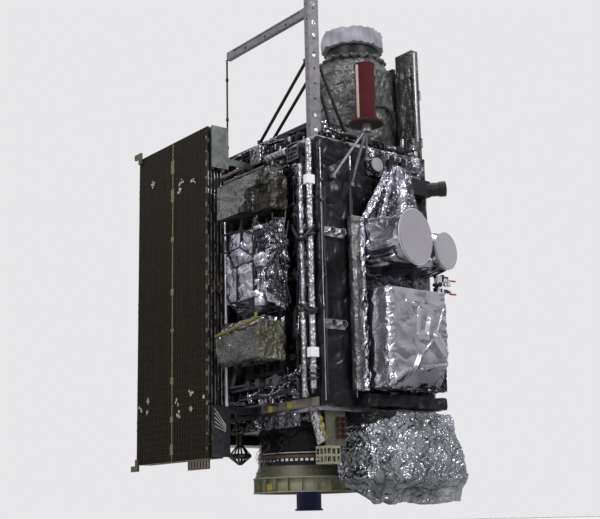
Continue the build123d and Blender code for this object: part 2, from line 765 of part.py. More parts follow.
# Brackets at the root corners of the stack, one above and one below
with BuildPart() as array_bracket:
    plate_front = STACK_FRONT + BRACKET_REACH
    upper_arm = TOP_DECK_Z - BRACKET_ARM_H
    lower_arm = AFT_DECK_TOP
    # bottom of the arm, bottom and top of the plate
    for arm_low, plate_low, plate_high in (
        (upper_arm, upper_arm - BRACKET_LAP, PANEL_LOW + PANEL_H - BRACKET_REACH),
        (lower_arm, PANEL_LOW + BRACKET_REACH, lower_arm + BRACKET_ARM_H),
    ):
        plate_x = (BRACKET_X, BRACKET_X + BRACKET_T)
        block(plate_x, (YOKE_FRONT, FACE_A_Y), (arm_low, arm_low + BRACKET_ARM_H))
        block(plate_x, (plate_front, YOKE_FRONT + BRACKET_T), (plate_low, plate_high))
array_bracket.part.label = "array_bracket"
export_step(array_bracket.part, "parts/array_bracket.step")

# Instruments beside the array on face A, carried by one rack
with BuildPart() as upper_instrument:
    block((BAY_LEFT + YOKE_SETBACK, UPPER_RIGHT), (BAY_FRONT, BAY_BACK), (UPPER_LOW, UPPER_HIGH))
    fillet(upper_instrument.edges().filter_by(Axis.Y), UPPER_ROUND)
    opening(
        (UPPER_RIGHT - UPPER_RECESS_W, UPPER_RIGHT),
        (BAY_FRONT, BAY_FRONT + UPPER_RECESS_D),
        (UPPER_LOW, UPPER_LOW + UPPER_RECESS_H),
    )
    # Sun port on a foot over the box, its mouth stepped in like a lens hood
    port_z = UPPER_HIGH + SUN_PORT_R
    block((SUN_PORT_X - SUN_PORT_R / 2, SUN_PORT_X + SUN_PORT_R / 2), (BAY_BACK - SUN_PORT_L / 2, BAY_BACK),
          (UPPER_HIGH, port_z))
    with BuildSketch(Plane(origin=(SUN_PORT_X, BAY_BACK, port_z), x_dir=(1, 0, 0), z_dir=(0, -1, 0))):
        Circle(SUN_PORT_R)
    extrude(amount=SUN_PORT_L)
    for step in range(SUN_PORT_STEPS):
        mouth_y = BAY_BACK - SUN_PORT_L
        step_r = SUN_PORT_R - (step + 0.5) * (SUN_PORT_R - SUN_PORT_BORE_R) / SUN_PORT_STEPS
        with BuildSketch(Plane(origin=(SUN_PORT_X, mouth_y, port_z), x_dir=(1, 0, 0), z_dir=(0, -1, 0))):
            Circle(step_r)
        extrude(amount=-(step + 1) * SUN_PORT_L / 6, mode=Mode.SUBTRACT)
upper_instrument.part.label = "upper_instrument"
export_step(upper_instrument.part, "parts/upper_instrument.step")

with BuildPart() as lower_instrument:
    block((BAY_LEFT, LOWER_RIGHT), (BAY_FRONT, BAY_BACK), (LOWER_LOW, LOWER_HIGH))
    chamfer(lower_instrument.faces().sort_by(Axis.Z)[-1].edges().sort_by(Axis.Y)[0],
            LOWER_SLOPE_DROP, LOWER_SLOPE_IN)
    fillet(lower_instrument.faces().sort_by(Axis.Z)[0].edges().sort_by(Axis.Y)[0], LOWER_ROUND)
lower_instrument.part.label = "lower_instrument"
export_step(lower_instrument.part, "parts/lower_instrument.step")

# Faceted telescope cover between the two boxes
with BuildPart() as foil_instrument:
    foil_outline = (
        (FOIL_LEFT, FOIL_LOW),
        (FOIL_RIGHT - FOIL_FOOT_IN, FOIL_LOW),
        (FOIL_RIGHT, FOIL_WAIST),
        (FOIL_RIGHT - FOIL_HEAD_IN, FOIL_HIGH),
        (FOIL_LEFT + FOIL_SHOULDER_IN, FOIL_HIGH),
        (FOIL_LEFT, FOIL_WAIST),
    )
    foil_mid = (middle(FOIL_LEFT, FOIL_RIGHT), middle(FOIL_LOW, FOIL_HIGH))
    for foil_y, shrink in ((BAY_BACK, 0.0), (FOIL_FACE, FOIL_SHRINK)):
        with BuildSketch(Plane.XZ.offset(-foil_y)):
            with BuildLine():
                corners = [
                    (x + shrink * (foil_mid[0] - x), z + shrink * (foil_mid[1] - z))
                    for x, z in foil_outline
                ]
                Polyline(corners, close=True)
            make_face()
    loft(ruled=True)
foil_instrument.part.label = "foil_instrument"
export_step(foil_instrument.part, "parts/foil_instrument.step")

with BuildPart() as instrument_rack:
    rack_low = LOWER_LOW - RACK_UNDERHANG
    rack_high = UPPER_HIGH + RACK_OVERHANG
    rack_front = BAY_BACK + RACK_D
    rack_left = FOIL_LEFT + RACK_POST_INSET
    rack_right = LOWER_RIGHT - RACK_POST_INSET / 2 - RACK_W / 4
    standoff_levels = (
        rack_low + STANDOFF_FROM_LOW,
        middle(rack_low, rack_high),
        rack_high - STANDOFF_FROM_HIGH,
    )
    for rack_x in (rack_left, rack_right):
        block((rack_x - RACK_W / 2, rack_x + RACK_W / 2), (BAY_BACK, rack_front), (rack_low, rack_high))
        for rack_z in standoff_levels:
            block(
                (rack_x - STANDOFF_W / 2, rack_x + STANDOFF_W / 2),
                (rack_front, FACE_A_Y),
                (rack_z - STANDOFF_W / 2, rack_z + STANDOFF_W / 2),
            )
    for rack_z in (rack_low + RACK_BAR / 2, rack_high - RACK_BAR / 2):
        block(
            (rack_left, rack_right),
            (BAY_BACK + RACK_D / 6, rack_front - RACK_D / 6),
            (rack_z - RACK_BAR / 2, rack_z + RACK_BAR / 2),
        )
instrument_rack.part.label = "instrument_rack"
export_step(instrument_rack.part, "parts/instrument_rack.step")

# Two wrapped service tubes up the near corner, held by ring clamps
# x, low, high, radius
CORNER_TUBES = (
    (FACE_B_X - THICK_TUBE_IN, AFT_DECK_TOP + 100, TOP_DECK_Z - 290, THICK_TUBE_R),
    (FACE_B_X - THIN_TUBE_IN, AFT_DECK_TOP + 180, TOP_DECK_Z - 30, THIN_TUBE_R),
)
CLAMP_RISES = (400.0, 1020.0, 1910.0, 2350.0)
with BuildPart() as corner_tubes:
    for tube_x, tube_low, tube_high, tube_r in CORNER_TUBES:
        disc(tube_x, TUBE_Y, tube_low, tube_r, tube_high - tube_low)
        for rise in CLAMP_RISES:
            clamp_low = AFT_DECK_TOP + rise
            disc(tube_x, TUBE_Y, clamp_low, tube_r + CLAMP_WALL, CLAMP_H)
            block((tube_x - CLAMP_FOOT_W / 2, tube_x + CLAMP_FOOT_W / 2), (TUBE_Y, FACE_A_Y),
                  (clamp_low, clamp_low + CLAMP_H))
corner_tubes.part.label = "corner_tubes"
export_step(corner_tubes.part, "parts/corner_tubes.step")

# White blocks threaded on the nearer tube
with BuildPart() as tube_blocks:
    for block_low in (AFT_DECK_TOP + TUBE_BLOCK_RISE, TOP_DECK_Z - TUBE_BLOCK_DROP):
        with BuildSketch(Plane.XY.offset(block_low)):
            with Locations((FACE_B_X - THIN_TUBE_IN, TUBE_Y)):
                Rectangle(TUBE_BLOCK, TUBE_BLOCK)
                Circle(THIN_TUBE_R + TUBE_BLOCK_FIT, mode=Mode.SUBTRACT)
        extrude(amount=TUBE_BLOCK)
tube_blocks.part.label = "tube_blocks"
export_step(tube_blocks.part, "parts/tube_blocks.step")

# Truss rail over the top edge of face A
with BuildPart() as top_truss:
    truss_left = MAST_LEFT - TRUSS_L
    rail_low = TRUSS_Z - TRUSS_W
    bay_l = TRUSS_L / TRUSS_BAYS
    for rail_y in (MAST_Y - RAIL_OFF, MAST_Y + RAIL_OFF):
        block((truss_left, MAST_LEFT), (rail_y - RAIL_W / 2, rail_y + RAIL_W / 2), (rail_low, TRUSS_Z))
    foot_y = (MAST_Y - RAIL_OFF - RAIL_W / 2, MAST_Y + RAIL_OFF + RAIL_W / 2)
    for bay in range(TRUSS_BAYS):
        foot_x = truss_left + (bay + TRUSS_FOOT_SHARE) * bay_l
        block((foot_x - TRUSS_W / 2, foot_x + TRUSS_W / 2), foot_y, (DECK_TOP, rail_low))
        for rail_y in (MAST_Y - RAIL_OFF, MAST_Y + RAIL_OFF):
            foot = (foot_x, rail_y, DECK_TOP + TRUSS_WEB_R + 2)
            bar(foot, (foot_x + bay_l * TRUSS_WEB_SHARE, rail_y, rail_low + TRUSS_WEB_R), TRUSS_WEB_R)
top_truss.part.label = "top_truss"
export_step(top_truss.part, "parts/top_truss.step")

# Wrapped box, tank and ducts along the top and bottom edges of face A
with BuildPart() as edge_box:
    block((EDGE_BOX_LEFT, EDGE_BOX_LEFT + EDGE_BOX_W), (FACE_A_Y - EDGE_BOX_OUT, FACE_A_Y),
          (TOP_DECK_Z - EDGE_BOX_BELOW, TOP_DECK_Z + EDGE_BOX_ABOVE))
    fillet(edge_box.edges().filter_by(Axis.Y), EDGE_BOX_ROUND)
edge_box.part.label = "edge_box"
export_step(edge_box.part, "parts/edge_box.step")

tank_y = FACE_A_Y - TANK_OUT
with BuildPart() as edge_tank:
    tank_z = TOP_DECK_Z - TANK_DROP
    tank_right = TANK_LEFT + TANK_L
    bar((TANK_LEFT, tank_y, tank_z), (tank_right, tank_y, tank_z), TANK_R)
    fillet(edge_tank.edges().filter_by(GeomType.CIRCLE), TANK_R * 0.6)
    for saddle_x in (TANK_LEFT + SADDLE_INSET, tank_right - SADDLE_INSET):
        block((saddle_x - SADDLE_W / 2, saddle_x + SADDLE_W / 2), (tank_y, FACE_A_Y),
              (tank_z - TANK_R, tank_z))
edge_tank.part.label = "edge_tank"
export_step(edge_tank.part, "parts/edge_tank.step")


def square_frame(left, low, size, front_y, slats):
    """Square frame of flat bars on four legs, with its slats, facing away from face A."""
    inner = (left + GRILLE_BAR, left + size - GRILLE_BAR)
    depth = (front_y - GRILLE_T / 2, front_y + GRILLE_T / 2)
    block((left, left + size), depth, (low, low + size))
    opening(inner, depth, (low + GRILLE_BAR, low + size - GRILLE_BAR))
    for slat in range(slats):
        slat_z = low + (slat + 1) * size / (slats + 1)
        block((left, left + size), (front_y - GRILLE_SLAT, front_y + GRILLE_SLAT),
              (slat_z - GRILLE_SLAT / 2, slat_z + GRILLE_SLAT / 2))
    for leg_x in inner:
        for leg_z in (low + GRILLE_BAR, low + size - GRILLE_BAR):
            block((leg_x - GRILLE_LEG / 2, leg_x + GRILLE_LEG / 2), (front_y, FACE_A_Y),
                  (leg_z - GRILLE_LEG / 2, leg_z + GRILLE_LEG / 2))


with BuildPart() as face_a_ducts:
    # left end, right end, reach out from face A, height, radius
    ducts = (
        (-300.0, 560.0, 110.0, TOP_DECK_Z - 170, 42.0),
        (-250.0, 810.0, 160.0, TOP_DECK_Z - 280, 38.0),
        (-150.0, 930.0, 130.0, AFT_DECK_TOP + 320, 38.0),
        (-50.0, 930.0, 90.0, AFT_DECK_TOP + 205, 30.0),
        (190.0, 640.0, 200.0, AFT_DECK_TOP + 75, PURGE_ROD_R),
    )
    for duct_left, duct_right, duct_out, duct_z, duct_r in ducts:
        duct_y = FACE_A_Y - duct_out
        foot_half = min(DUCT_FOOT_W / 2, duct_r)
        bar((duct_left, duct_y, duct_z), (duct_right, duct_y, duct_z), duct_r)
        for foot_x in (duct_left + DUCT_FOOT_INSET, duct_right - DUCT_FOOT_INSET):
            block((foot_x - foot_half, foot_x + foot_half), (duct_y, FACE_A_Y),
                  (duct_z - foot_half, duct_z + foot_half))
    # Valves and flanges on short stubs in front of the thicker lower duct
    _, _, stub_out, stub_z, _ = ducts[2]
    # x, reach of the stub, radius and thickness of what it ends in
    for stub_x, stub_l, end_r, end_t in ((330.0, 110.0, 50.0, 22.0), (560.0, 60.0, 46.0, 90.0),
                                         (740.0, 80.0, 36.0, 60.0), (880.0, 110.0, 66.0, 24.0)):
        stub_back = FACE_A_Y - stub_out
        bar((stub_x, stub_back, stub_z), (stub_x, stub_back - stub_l, stub_z), STUB_R)
        bar((stub_x, stub_back - stub_l, stub_z), (stub_x, stub_back - stub_l - end_t, stub_z), end_r)
    # left side, bottom, size, slats
    for frame_left, frame_low, frame_size, frame_slats in (
        (1025.0, TOP_DECK_Z - 235, 210.0, 3),
        (975.0, AFT_DECK_TOP + 150, 170.0, 0),
    ):
        square_frame(frame_left, frame_low, frame_size, tank_y, frame_slats)
face_a_ducts.part.label = "face_a_ducts"
export_step(face_a_ducts.part, "parts/face_a_ducts.step")

# Perforated mast, its slotted arm with a hanging rod, and its struts
with BuildPart() as mast:
    with BuildSketch(Plane.XY.offset(DECK_TOP)):
        with Locations((MAST_X, MAST_Y)):
            Rectangle(MAST_W, MAST_D)
            Rectangle(MAST_W - 2 * MAST_WALL, MAST_D - 2 * MAST_WALL, mode=Mode.SUBTRACT)
    extrude(amount=MAST_H)
    hole_pitch = MAST_H / MAST_HOLES
    for level in range(MAST_HOLES):
        hole_z = DECK_TOP + (level + 0.5) * hole_pitch
        with Locations(Location((MAST_X, MAST_Y, hole_z), (0, 90, 0))):
            Cylinder(MAST_HOLE_R, MAST_W + 2, mode=Mode.SUBTRACT)
        with Locations(Location((MAST_X, MAST_Y, hole_z + hole_pitch / 4), (90, 0, 0))):
            Cylinder(MAST_HOLE_R * 0.7, MAST_D + 2, mode=Mode.SUBTRACT)
mast.part.label = "mast"
export_step(mast.part, "parts/mast.step")

with BuildPart() as mast_arm:
    arm_low = DECK_TOP + MAST_H - ARM_DROP
    arm_tip = MAST_LEFT - ARM_L
    arm_y = (MAST_Y - ARM_W / 2, MAST_Y + ARM_W / 2)
    block((arm_tip, MAST_LEFT), arm_y, (arm_low, arm_low + ARM_DEPTH))
    slot_high = arm_low + ARM_DEPTH - ARM_EDGE
    opening((arm_tip + ARM_SLOT_MARGIN, MAST_LEFT - ARM_SLOT_MARGIN), arm_y,
            (slot_high - ARM_SLOT_H, slot_high))
    for notch in (0.25, 0.5, 0.75):
        notch_x = arm_tip + notch * ARM_L
        opening((notch_x - ARM_NOTCH_W / 2, notch_x + ARM_NOTCH_W / 2), arm_y,
                (arm_low + ARM_EDGE, arm_low + 2.5 * ARM_EDGE))
mast_arm.part.label = "mast_arm"
export_step(mast_arm.part, "parts/mast_arm.step")

with BuildPart() as mast_rod:
    rod_x = arm_tip + ROD_INSET
    rod_y = MAST_Y - RAIL_OFF
    rod_l = arm_low - TRUSS_Z
    disc(rod_x, rod_y, TRUSS_Z, ROD_R, rod_l)
    for share in (0.1, 0.38, 0.78):
        disc(rod_x, rod_y, TRUSS_Z + share * rod_l, ROD_COLLAR_R, ROD_COLLAR_H)
mast_rod.part.label = "mast_rod"
export_step(mast_rod.part, "parts/mast_rod.step")


def strut(start, end, radius):
    """Adds a bar with a square fitting at each end."""
    bar(start, end, radius)
    for knot in (start, end):
        with Locations(knot):
            Box(STRUT_END, STRUT_END, STRUT_END)


with BuildPart() as mast_struts:
    knot_out = STRUT_END / 2
    # y offset, rise on the mast, reach along the truss
    for strut_off, strut_rise, reach in ((-RAIL_OFF, 980.0, 980.0), (RAIL_OFF, 830.0, 830.0)):
        strut_y = MAST_Y + strut_off
        strut(
            (MAST_LEFT - knot_out, strut_y, DECK_TOP + strut_rise),
            (MAST_LEFT - reach, strut_y, TRUSS_Z + knot_out),
            STRUT_R,
        )
    # x offset, rise on the mast, reach over the deck
    for strut_off, strut_rise, reach in ((15.0, 900.0, 440.0), (-15.0, 670.0, 240.0)):
        strut(
            (MAST_X + strut_off, MAST_BACK + knot_out, DECK_TOP + strut_rise),
            (MAST_X + strut_off, MAST_BACK + reach, DECK_TOP + knot_out),
            STRUT_R,
        )
mast_struts.part.label = "mast_struts"
export_step(mast_struts.part, "parts/mast_struts.step")

# Lightning telescope: blanketed body, black baffle and its fabric bonnet
body_top = DECK_TOP + BODY_H
baffle_top = body_top + BAFFLE_H
with BuildPart() as telescope_body:
    with BuildSketch(upright_plane(TELESCOPE_X, TELESCOPE_Y)):
        with BuildLine():
            Polyline(
                (0, DECK_TOP),
                (BODY_R - BODY_SKIRT_IN, DECK_TOP),
                (BODY_R, DECK_TOP + BODY_SKIRT_H),
                (BODY_R, body_top - BODY_SHOULDER_H),
                (BAFFLE_R + BAFFLE_EASE, body_top),
                (0, body_top),
                (0, DECK_TOP),
            )
        make_face()
    revolve(axis=Axis((TELESCOPE_X, TELESCOPE_Y, 0), (0, 0, 1)))
    side_turn = radians(SIDE_BOX_TURN)
    side_z = body_top - BODY_SHOULDER_H - SIDE_BOX_H / 2
    side_facing = (cos(side_turn), sin(side_turn), 0)
    side_start = (
        TELESCOPE_X + BODY_R * SIDE_BOX_SEAT * cos(side_turn),
        TELESCOPE_Y + BODY_R * SIDE_BOX_SEAT * sin(side_turn),
        side_z,
    )
    with BuildSketch(Plane(origin=side_start, x_dir=(-sin(side_turn), cos(side_turn), 0), z_dir=side_facing)):
        Rectangle(SIDE_BOX_W, SIDE_BOX_H)
    extrude(amount=BODY_R * (1 - SIDE_BOX_SEAT) + SIDE_BOX_OUT)
telescope_body.part.label = "telescope_body"
export_step(telescope_body.part, "parts/telescope_body.step")

with BuildPart() as telescope_baffle:
    disc(TELESCOPE_X, TELESCOPE_Y, body_top, BAFFLE_R, BAFFLE_H)
telescope_baffle.part.label = "telescope_baffle"
export_step(telescope_baffle.part, "parts/telescope_baffle.step")

with BuildPart() as telescope_bonnet:
    bonnet_in = BAFFLE_R + SOFT_FIT
    bonnet_r = BAFFLE_R + BONNET_OUT
    bonnet_low = baffle_top - BONNET_SKIRT
    bonnet_top = baffle_top + BONNET_CROWN
    with BuildSketch(upright_plane(TELESCOPE_X, TELESCOPE_Y)):
        with BuildLine():
            Polyline(
                (0, baffle_top + SOFT_FIT),
                (bonnet_in, baffle_top + SOFT_FIT),
                (bonnet_in, bonnet_low),
                (bonnet_r, bonnet_low + BONNET_HEM_H),
                (bonnet_r, bonnet_top - BONNET_BRIM_H),
                (bonnet_r - BONNET_BRIM_IN, bonnet_top),
                (0, bonnet_top),
                (0, baffle_top + SOFT_FIT),
            )
        make_face()
    revolve(axis=Axis((TELESCOPE_X, TELESCOPE_Y, 0), (0, 0, 1)))
telescope_bonnet.part.label = "telescope_bonnet"
export_step(telescope_bonnet.part, "parts/telescope_bonnet.step")

# Imager: thin housing, tall radiator tower with a recessed face, and two handles
with BuildPart() as imager:
    tower_y = (FACE_C_Y - TOWER_T, FACE_C_Y)
    tower_top = DECK_TOP + TOWER_H
    block((TOWER_LEFT - SLAB_W, TOWER_LEFT), (FACE_C_Y - SLAB_T, FACE_C_Y), (DECK_TOP, DECK_TOP + SLAB_H))
    block((TOWER_LEFT, TOWER_RIGHT), tower_y, (DECK_TOP, tower_top))
    opening(
        (TOWER_LEFT + TOWER_FRAME, TOWER_RIGHT - TOWER_FRAME),
        (tower_y[0], tower_y[0] + TOWER_RECESS),
        (DECK_TOP + TOWER_FOOT_H, tower_top - TOWER_HEAD_H),
    )
    handle_y = FACE_C_Y - TOWER_FRAME
    for handle_rise in HANDLE_RISES:
        grip_x = TOWER_RIGHT + HANDLE_OUT
        for end_z in (0, HANDLE_L):
            leg_z = DECK_TOP + handle_rise - HANDLE_L / 2 + end_z
            bar((TOWER_RIGHT - HANDLE_R, handle_y, leg_z), (grip_x, handle_y, leg_z), HANDLE_R)
        grip_low = DECK_TOP + handle_rise - HANDLE_L / 2 - HANDLE_R
        disc(grip_x, handle_y, grip_low, HANDLE_R, HANDLE_L + 2 * HANDLE_R)
imager.part.label = "imager"
export_step(imager.part, "parts/imager.step")

# Helix antenna under its red cover, on a tripod off face B
helix_x = FACE_B_X + HELIX_OUT
helix_low = DECK_TOP + HELIX_RISE
with BuildPart() as helix_antenna:
    disc(helix_x, HELIX_Y, helix_low - GROUND_T, GROUND_R, GROUND_T)
    disc(helix_x, HELIX_Y, helix_low, HELIX_R, HELIX_H)
helix_antenna.part.label = "helix_antenna"
export_step(helix_antenna.part, "parts/helix_antenna.step")

with BuildPart() as helix_tripod:
    hub_low = helix_low - GROUND_T - HUB_H
    column_edge = FACE_A_Y - COLUMN_LAP + COLUMN_W
    disc(helix_x, HELIX_Y, hub_low, HUB_R, HUB_H)
    # foot y, drop below the hub
    for leg_y, leg_drop in ((-700.0, 580.0), (-365.0, 610.0), (-120.0, 250.0)):
        leg_x = FACE_B_X + (COLUMN_OUT if leg_y < column_edge else 0) + STRUT_END / 2
        leg_foot = (leg_x, leg_y, hub_low - leg_drop)
        bar(leg_foot, (helix_x, HELIX_Y, hub_low + HUB_H / 2), TRIPOD_R)
        with Locations(leg_foot):
            Box(STRUT_END, STRUT_END, STRUT_END)
helix_tripod.part.label = "helix_tripod"
export_step(helix_tripod.part, "parts/helix_tripod.step")

# Antenna wing: pocketed frame with two arms that hang from the top edge of face B
with BuildPart() as wing_frame:
    block((WING_BACK_X, WING_FACE_X), (WING_LEFT, WING_RIGHT), (WING_LOW, WING_HIGH))
    pocket_w = (WING_RIGHT - WING_LEFT - 3 * WING_RIB) / 2
    pocket_h = (WING_HIGH - WING_LOW - 5 * WING_RIB) / 4
    wing_mid = (WING_BACK_X, middle(WING_LEFT, WING_RIGHT), middle(WING_LOW, WING_HIGH))
    with BuildSketch(Plane(origin=wing_mid, x_dir=(0, 1, 0), z_dir=(1, 0, 0))):
        with GridLocations(pocket_w + WING_RIB, pocket_h + WING_RIB, 2, 4):
            Rectangle(pocket_w, pocket_h)
    extrude(amount=WING_POCKET_D, mode=Mode.SUBTRACT)
    for arm_y in WING_ARM_Y:
        block((WING_BACK_X, WING_FACE_X), (arm_y - WING_ARM_W / 2, arm_y + WING_ARM_W / 2),
              (WING_HIGH, WING_AXIS_Z))
        with Locations(Location((WING_AXIS_X, arm_y, WING_AXIS_Z), (90, 0, 0))):
            Cylinder(WING_EAR_R, WING_ARM_W)
            Cylinder(WING_PIN_R + WING_PIN_FIT, WING_ARM_W, mode=Mode.SUBTRACT)
wing_frame.part.label = "wing_frame"
export_step(wing_frame.part, "parts/wing_frame.step")

with BuildPart() as wing_brackets:
    ear_off = WING_ARM_W / 2 + WING_EAR_GAP + WING_EAR_T / 2
    for arm_y in WING_ARM_Y:
        for ear_y in (arm_y - ear_off, arm_y + ear_off):
            block(
                (FACE_B_X, WING_AXIS_X),
                (ear_y - WING_EAR_T / 2, ear_y + WING_EAR_T / 2),
                (WING_AXIS_Z - WING_EAR_R, WING_AXIS_Z + WING_EAR_R),
            )
            with Locations(Location((WING_AXIS_X, ear_y, WING_AXIS_Z), (90, 0, 0))):
                Cylinder(WING_EAR_R, WING_EAR_T)
        with Locations(Location((WING_AXIS_X, arm_y, WING_AXIS_Z), (90, 0, 0))):
            Cylinder(WING_PIN_R, 2 * ear_off)
wing_brackets.part.label = "wing_brackets"
export_step(wing_brackets.part, "parts/wing_brackets.step")

# Blanket over the wing's arms, wide at the frame and narrow at the hinge
with BuildPart() as wing_blanket:
    veil_high = WING_AXIS_Z - VEIL_DROP
    with BuildSketch(Plane(origin=(WING_FACE_X + SOFT_FIT, 0, 0), x_dir=(0, 1, 0), z_dir=(1, 0, 0))):
        with BuildLine():
            Polyline(
                (WING_ARM_Y[0] - VEIL_LEFT_OUT, WING_HIGH),
                (WING_ARM_Y[1] + VEIL_RIGHT_OUT, WING_HIGH),
                (WING_ARM_Y[1] + WING_ARM_W / 2, veil_high),
                (WING_ARM_Y[0] - WING_ARM_W / 2, veil_high),
                close=True,
            )
        make_face()
    extrude(amount=VEIL_T)
wing_blanket.part.label = "wing_blanket"
export_step(wing_blanket.part, "parts/wing_blanket.step")

with BuildPart() as wing_edge_beam:
    with BuildSketch(Plane.XY.offset(WING_LOW - BEAM_DROP)):
        with Locations((WING_AXIS_X + BEAM_OUT, WING_LEFT - BEAM_W / 2)):
            RectangleRounded(BEAM_D, BEAM_W, BEAM_ROUND)
    extrude(amount=WING_HIGH - WING_LOW)
wing_edge_beam.part.label = "wing_edge_beam"
export_step(wing_edge_beam.part, "parts/wing_edge_beam.step")

with BuildPart() as wing_box:
    block((WING_FACE_X, BOX_FRONT), (WING_LEFT + BOX_LAP, BOX_RIGHT), (WING_LOW, BOX_HIGH))
    fillet(wing_box.edges().filter_by(Axis.Z).group_by(Axis.X)[-1], BOX_ROUND)
wing_box.part.label = "wing_box"
export_step(wing_box.part, "parts/wing_box.step")

# Two probes on a post at the right corner of the box
with BuildPart() as wing_probes:
    probe_x = (BOX_FRONT - BOX_ROUND - PROBE_POST, BOX_FRONT - BOX_ROUND)
    post_right = BOX_RIGHT - BOX_ROUND
    block(probe_x, (post_right - PROBE_POST, post_right), (BOX_HIGH, BOX_HIGH + PROBE_POST_H))
    # height of the block above the box, and its own height
    for probe_rise, probe_h in ((20.0, 70.0), (120.0, 80.0)):
        probe_z = BOX_HIGH + probe_rise + probe_h / 2
        block(probe_x, (post_right, post_right + PROBE_POST),
              (probe_z - probe_h / 2, probe_z + probe_h / 2))
        rod_start = (middle(*probe_x), post_right + PROBE_POST, probe_z)
        rod_end = (rod_start[0], rod_start[1] + PROBE_ROD_L, probe_z)
        tip_start = (rod_start[0], rod_end[1] - PROBE_TIP_LAP, probe_z)
        tip_end = (rod_start[0], tip_start[1] + PROBE_TIP_L, probe_z)
        bar(rod_start, rod_end, PROBE_ROD_R)
        bar(tip_start, tip_end, PROBE_TIP_R)
wing_probes.part.label = "wing_probes"
export_step(wing_probes.part, "parts/wing_probes.step")

# Two flat dish covers on blanket shrouds, turned a little towards face C
# name, reach out from the frame, centre y, rise over the box, radius, then the base's y and rise over the box
for dish_name, dish_out, dish_y, dish_rise, dish_r, low_y, high_y, low_rise, high_rise in (
    ("large", 560.0, -30.0, 550.0, 315.0, -310.0, 290.0, 200.0, 850.0),
    ("small", 480.0, 520.0, 470.0, 215.0, 300.0, 650.0, 230.0, 730.0),
):
    turn = radians(DISH_TURN)
    base_mid = (WING_FACE_X, middle(low_y, high_y), BOX_HIGH + middle(low_rise, high_rise))
    base_plane = Plane(origin=base_mid, x_dir=(0, 1, 0), z_dir=(1, 0, 0))
    dish_plane = Plane(
        origin=(WING_FACE_X + dish_out, dish_y, BOX_HIGH + dish_rise),
        x_dir=(-sin(turn), cos(turn), 0),
        z_dir=(cos(turn), sin(turn), 0),
    )
    with BuildPart() as dish_shroud:
        with BuildSketch(base_plane):
            RectangleRounded(high_y - low_y, high_rise - low_rise, SHROUD_ROUND)
        with BuildSketch(dish_plane):
            Circle(dish_r - DISH_RIM)
        loft()
    dish_shroud.part.label = f"{dish_name}_dish_shroud"
    export_step(dish_shroud.part, f"parts/{dish_name}_dish_shroud.step")
    with BuildPart() as dish_cover:
        with BuildSketch(dish_plane):
            Circle(dish_r)
        extrude(amount=DISH_T)
    dish_cover.part.label = f"{dish_name}_dish_cover"
    export_step(dish_cover.part, f"parts/{dish_name}_dish_cover.step")

# Star sensors at the far top corner of face B, and a round sensor near the hinge
with BuildPart() as star_sensors:
    star_high = TOP_DECK_Z - STAR_DROP
    block((FACE_B_X, FACE_B_X + STAR_BODY_OUT), (STAR_LEFT, STAR_RIGHT), (star_high - STAR_H, star_high))
    star_turn = radians(STAR_TUBE_TURN)
    star_lift = radians(STAR_TUBE_LIFT)
    star_way = Vector(cos(star_turn) * cos(star_lift), sin(star_turn) * cos(star_lift), sin(star_lift))
    star_back = Vector(FACE_B_X + STAR_BODY_OUT / 2, STAR_RIGHT - STAR_TUBE_INSET, star_high - STAR_H / 2)
    star_front = star_back + star_way * STAR_TUBE_L
    star_rim = star_back + star_way * (STAR_TUBE_L - STAR_RIM_L)
    bar(tuple(star_back), tuple(star_front), STAR_TUBE_R)
    bar(tuple(star_rim), tuple(star_front), STAR_RIM_R)
star_sensors.part.label = "star_sensors"
export_step(star_sensors.part, "parts/star_sensors.step")

with BuildPart() as face_b_sensor:
    sensor_z = TOP_DECK_Z - SENSOR_DROP
    disc_back = FACE_B_X + SENSOR_DISC_OUT - SENSOR_DISC_T
    bar((FACE_B_X, SENSOR_Y, sensor_z), (disc_back, SENSOR_Y, sensor_z), SENSOR_DISC_R / 2)
    bar((disc_back, SENSOR_Y, sensor_z), (FACE_B_X + SENSOR_DISC_OUT, SENSOR_Y, sensor_z), SENSOR_DISC_R)
face_b_sensor.part.label = "face_b_sensor"
export_step(face_b_sensor.part, "parts/face_b_sensor.step")

# Two pods on the blanket column, each with a pair of open nozzles
with BuildPart() as thruster_pods:
    pod_back = FACE_B_X + COLUMN_OUT
    nozzle_back = pod_back + POD_T
    # middle y, rise over the aft deck
    for pod_y, pod_rise in ((-705.0, 1960.0), (-725.0, 900.0)):
        pod_z = AFT_DECK_TOP + pod_rise
        with BuildSketch(Plane(origin=(pod_back, pod_y, pod_z), x_dir=(0, 1, 0), z_dir=(1, 0, 0))):
            RectangleRounded(POD_W, POD_H, POD_ROUND)
        extrude(amount=POD_T)
        for nozzle_y in (pod_y - NOZZLE_PITCH / 2, pod_y + NOZZLE_PITCH / 2):
            with BuildSketch(Plane(origin=(0, nozzle_y, pod_z), x_dir=(1, 0, 0), z_dir=(0, 0, 1))):
                with BuildLine():
                    Polyline(
                        (nozzle_back, 0),
                        (nozzle_back, NOZZLE_THROAT_R),
                        (nozzle_back + NOZZLE_L, NOZZLE_MOUTH_R),
                        (nozzle_back + NOZZLE_L, NOZZLE_MOUTH_R - NOZZLE_WALL),
                        (nozzle_back + NOZZLE_WALL, NOZZLE_THROAT_R - NOZZLE_WALL),
                        (nozzle_back + NOZZLE_WALL, 0),
                        (nozzle_back, 0),
                    )
                make_face()
            revolve(axis=Axis((0, nozzle_y, pod_z), (1, 0, 0)))
thruster_pods.part.label = "thruster_pods"
export_step(thruster_pods.part, "parts/thruster_pods.step")

# Blanketed lower housing under the wing, and the wrapped sack below it
with BuildPart() as lower_housing:
    block((FACE_B_X, FACE_B_X + HOUSING_OUT), (WING_LEFT - HOUSING_LEFT_OUT, WING_RIGHT + HOUSING_RIGHT_OUT),
          (AFT_DECK_TOP, AFT_DECK_TOP + HOUSING_H))
lower_housing.part.label = "lower_housing"
export_step(lower_housing.part, "parts/lower_housing.step")

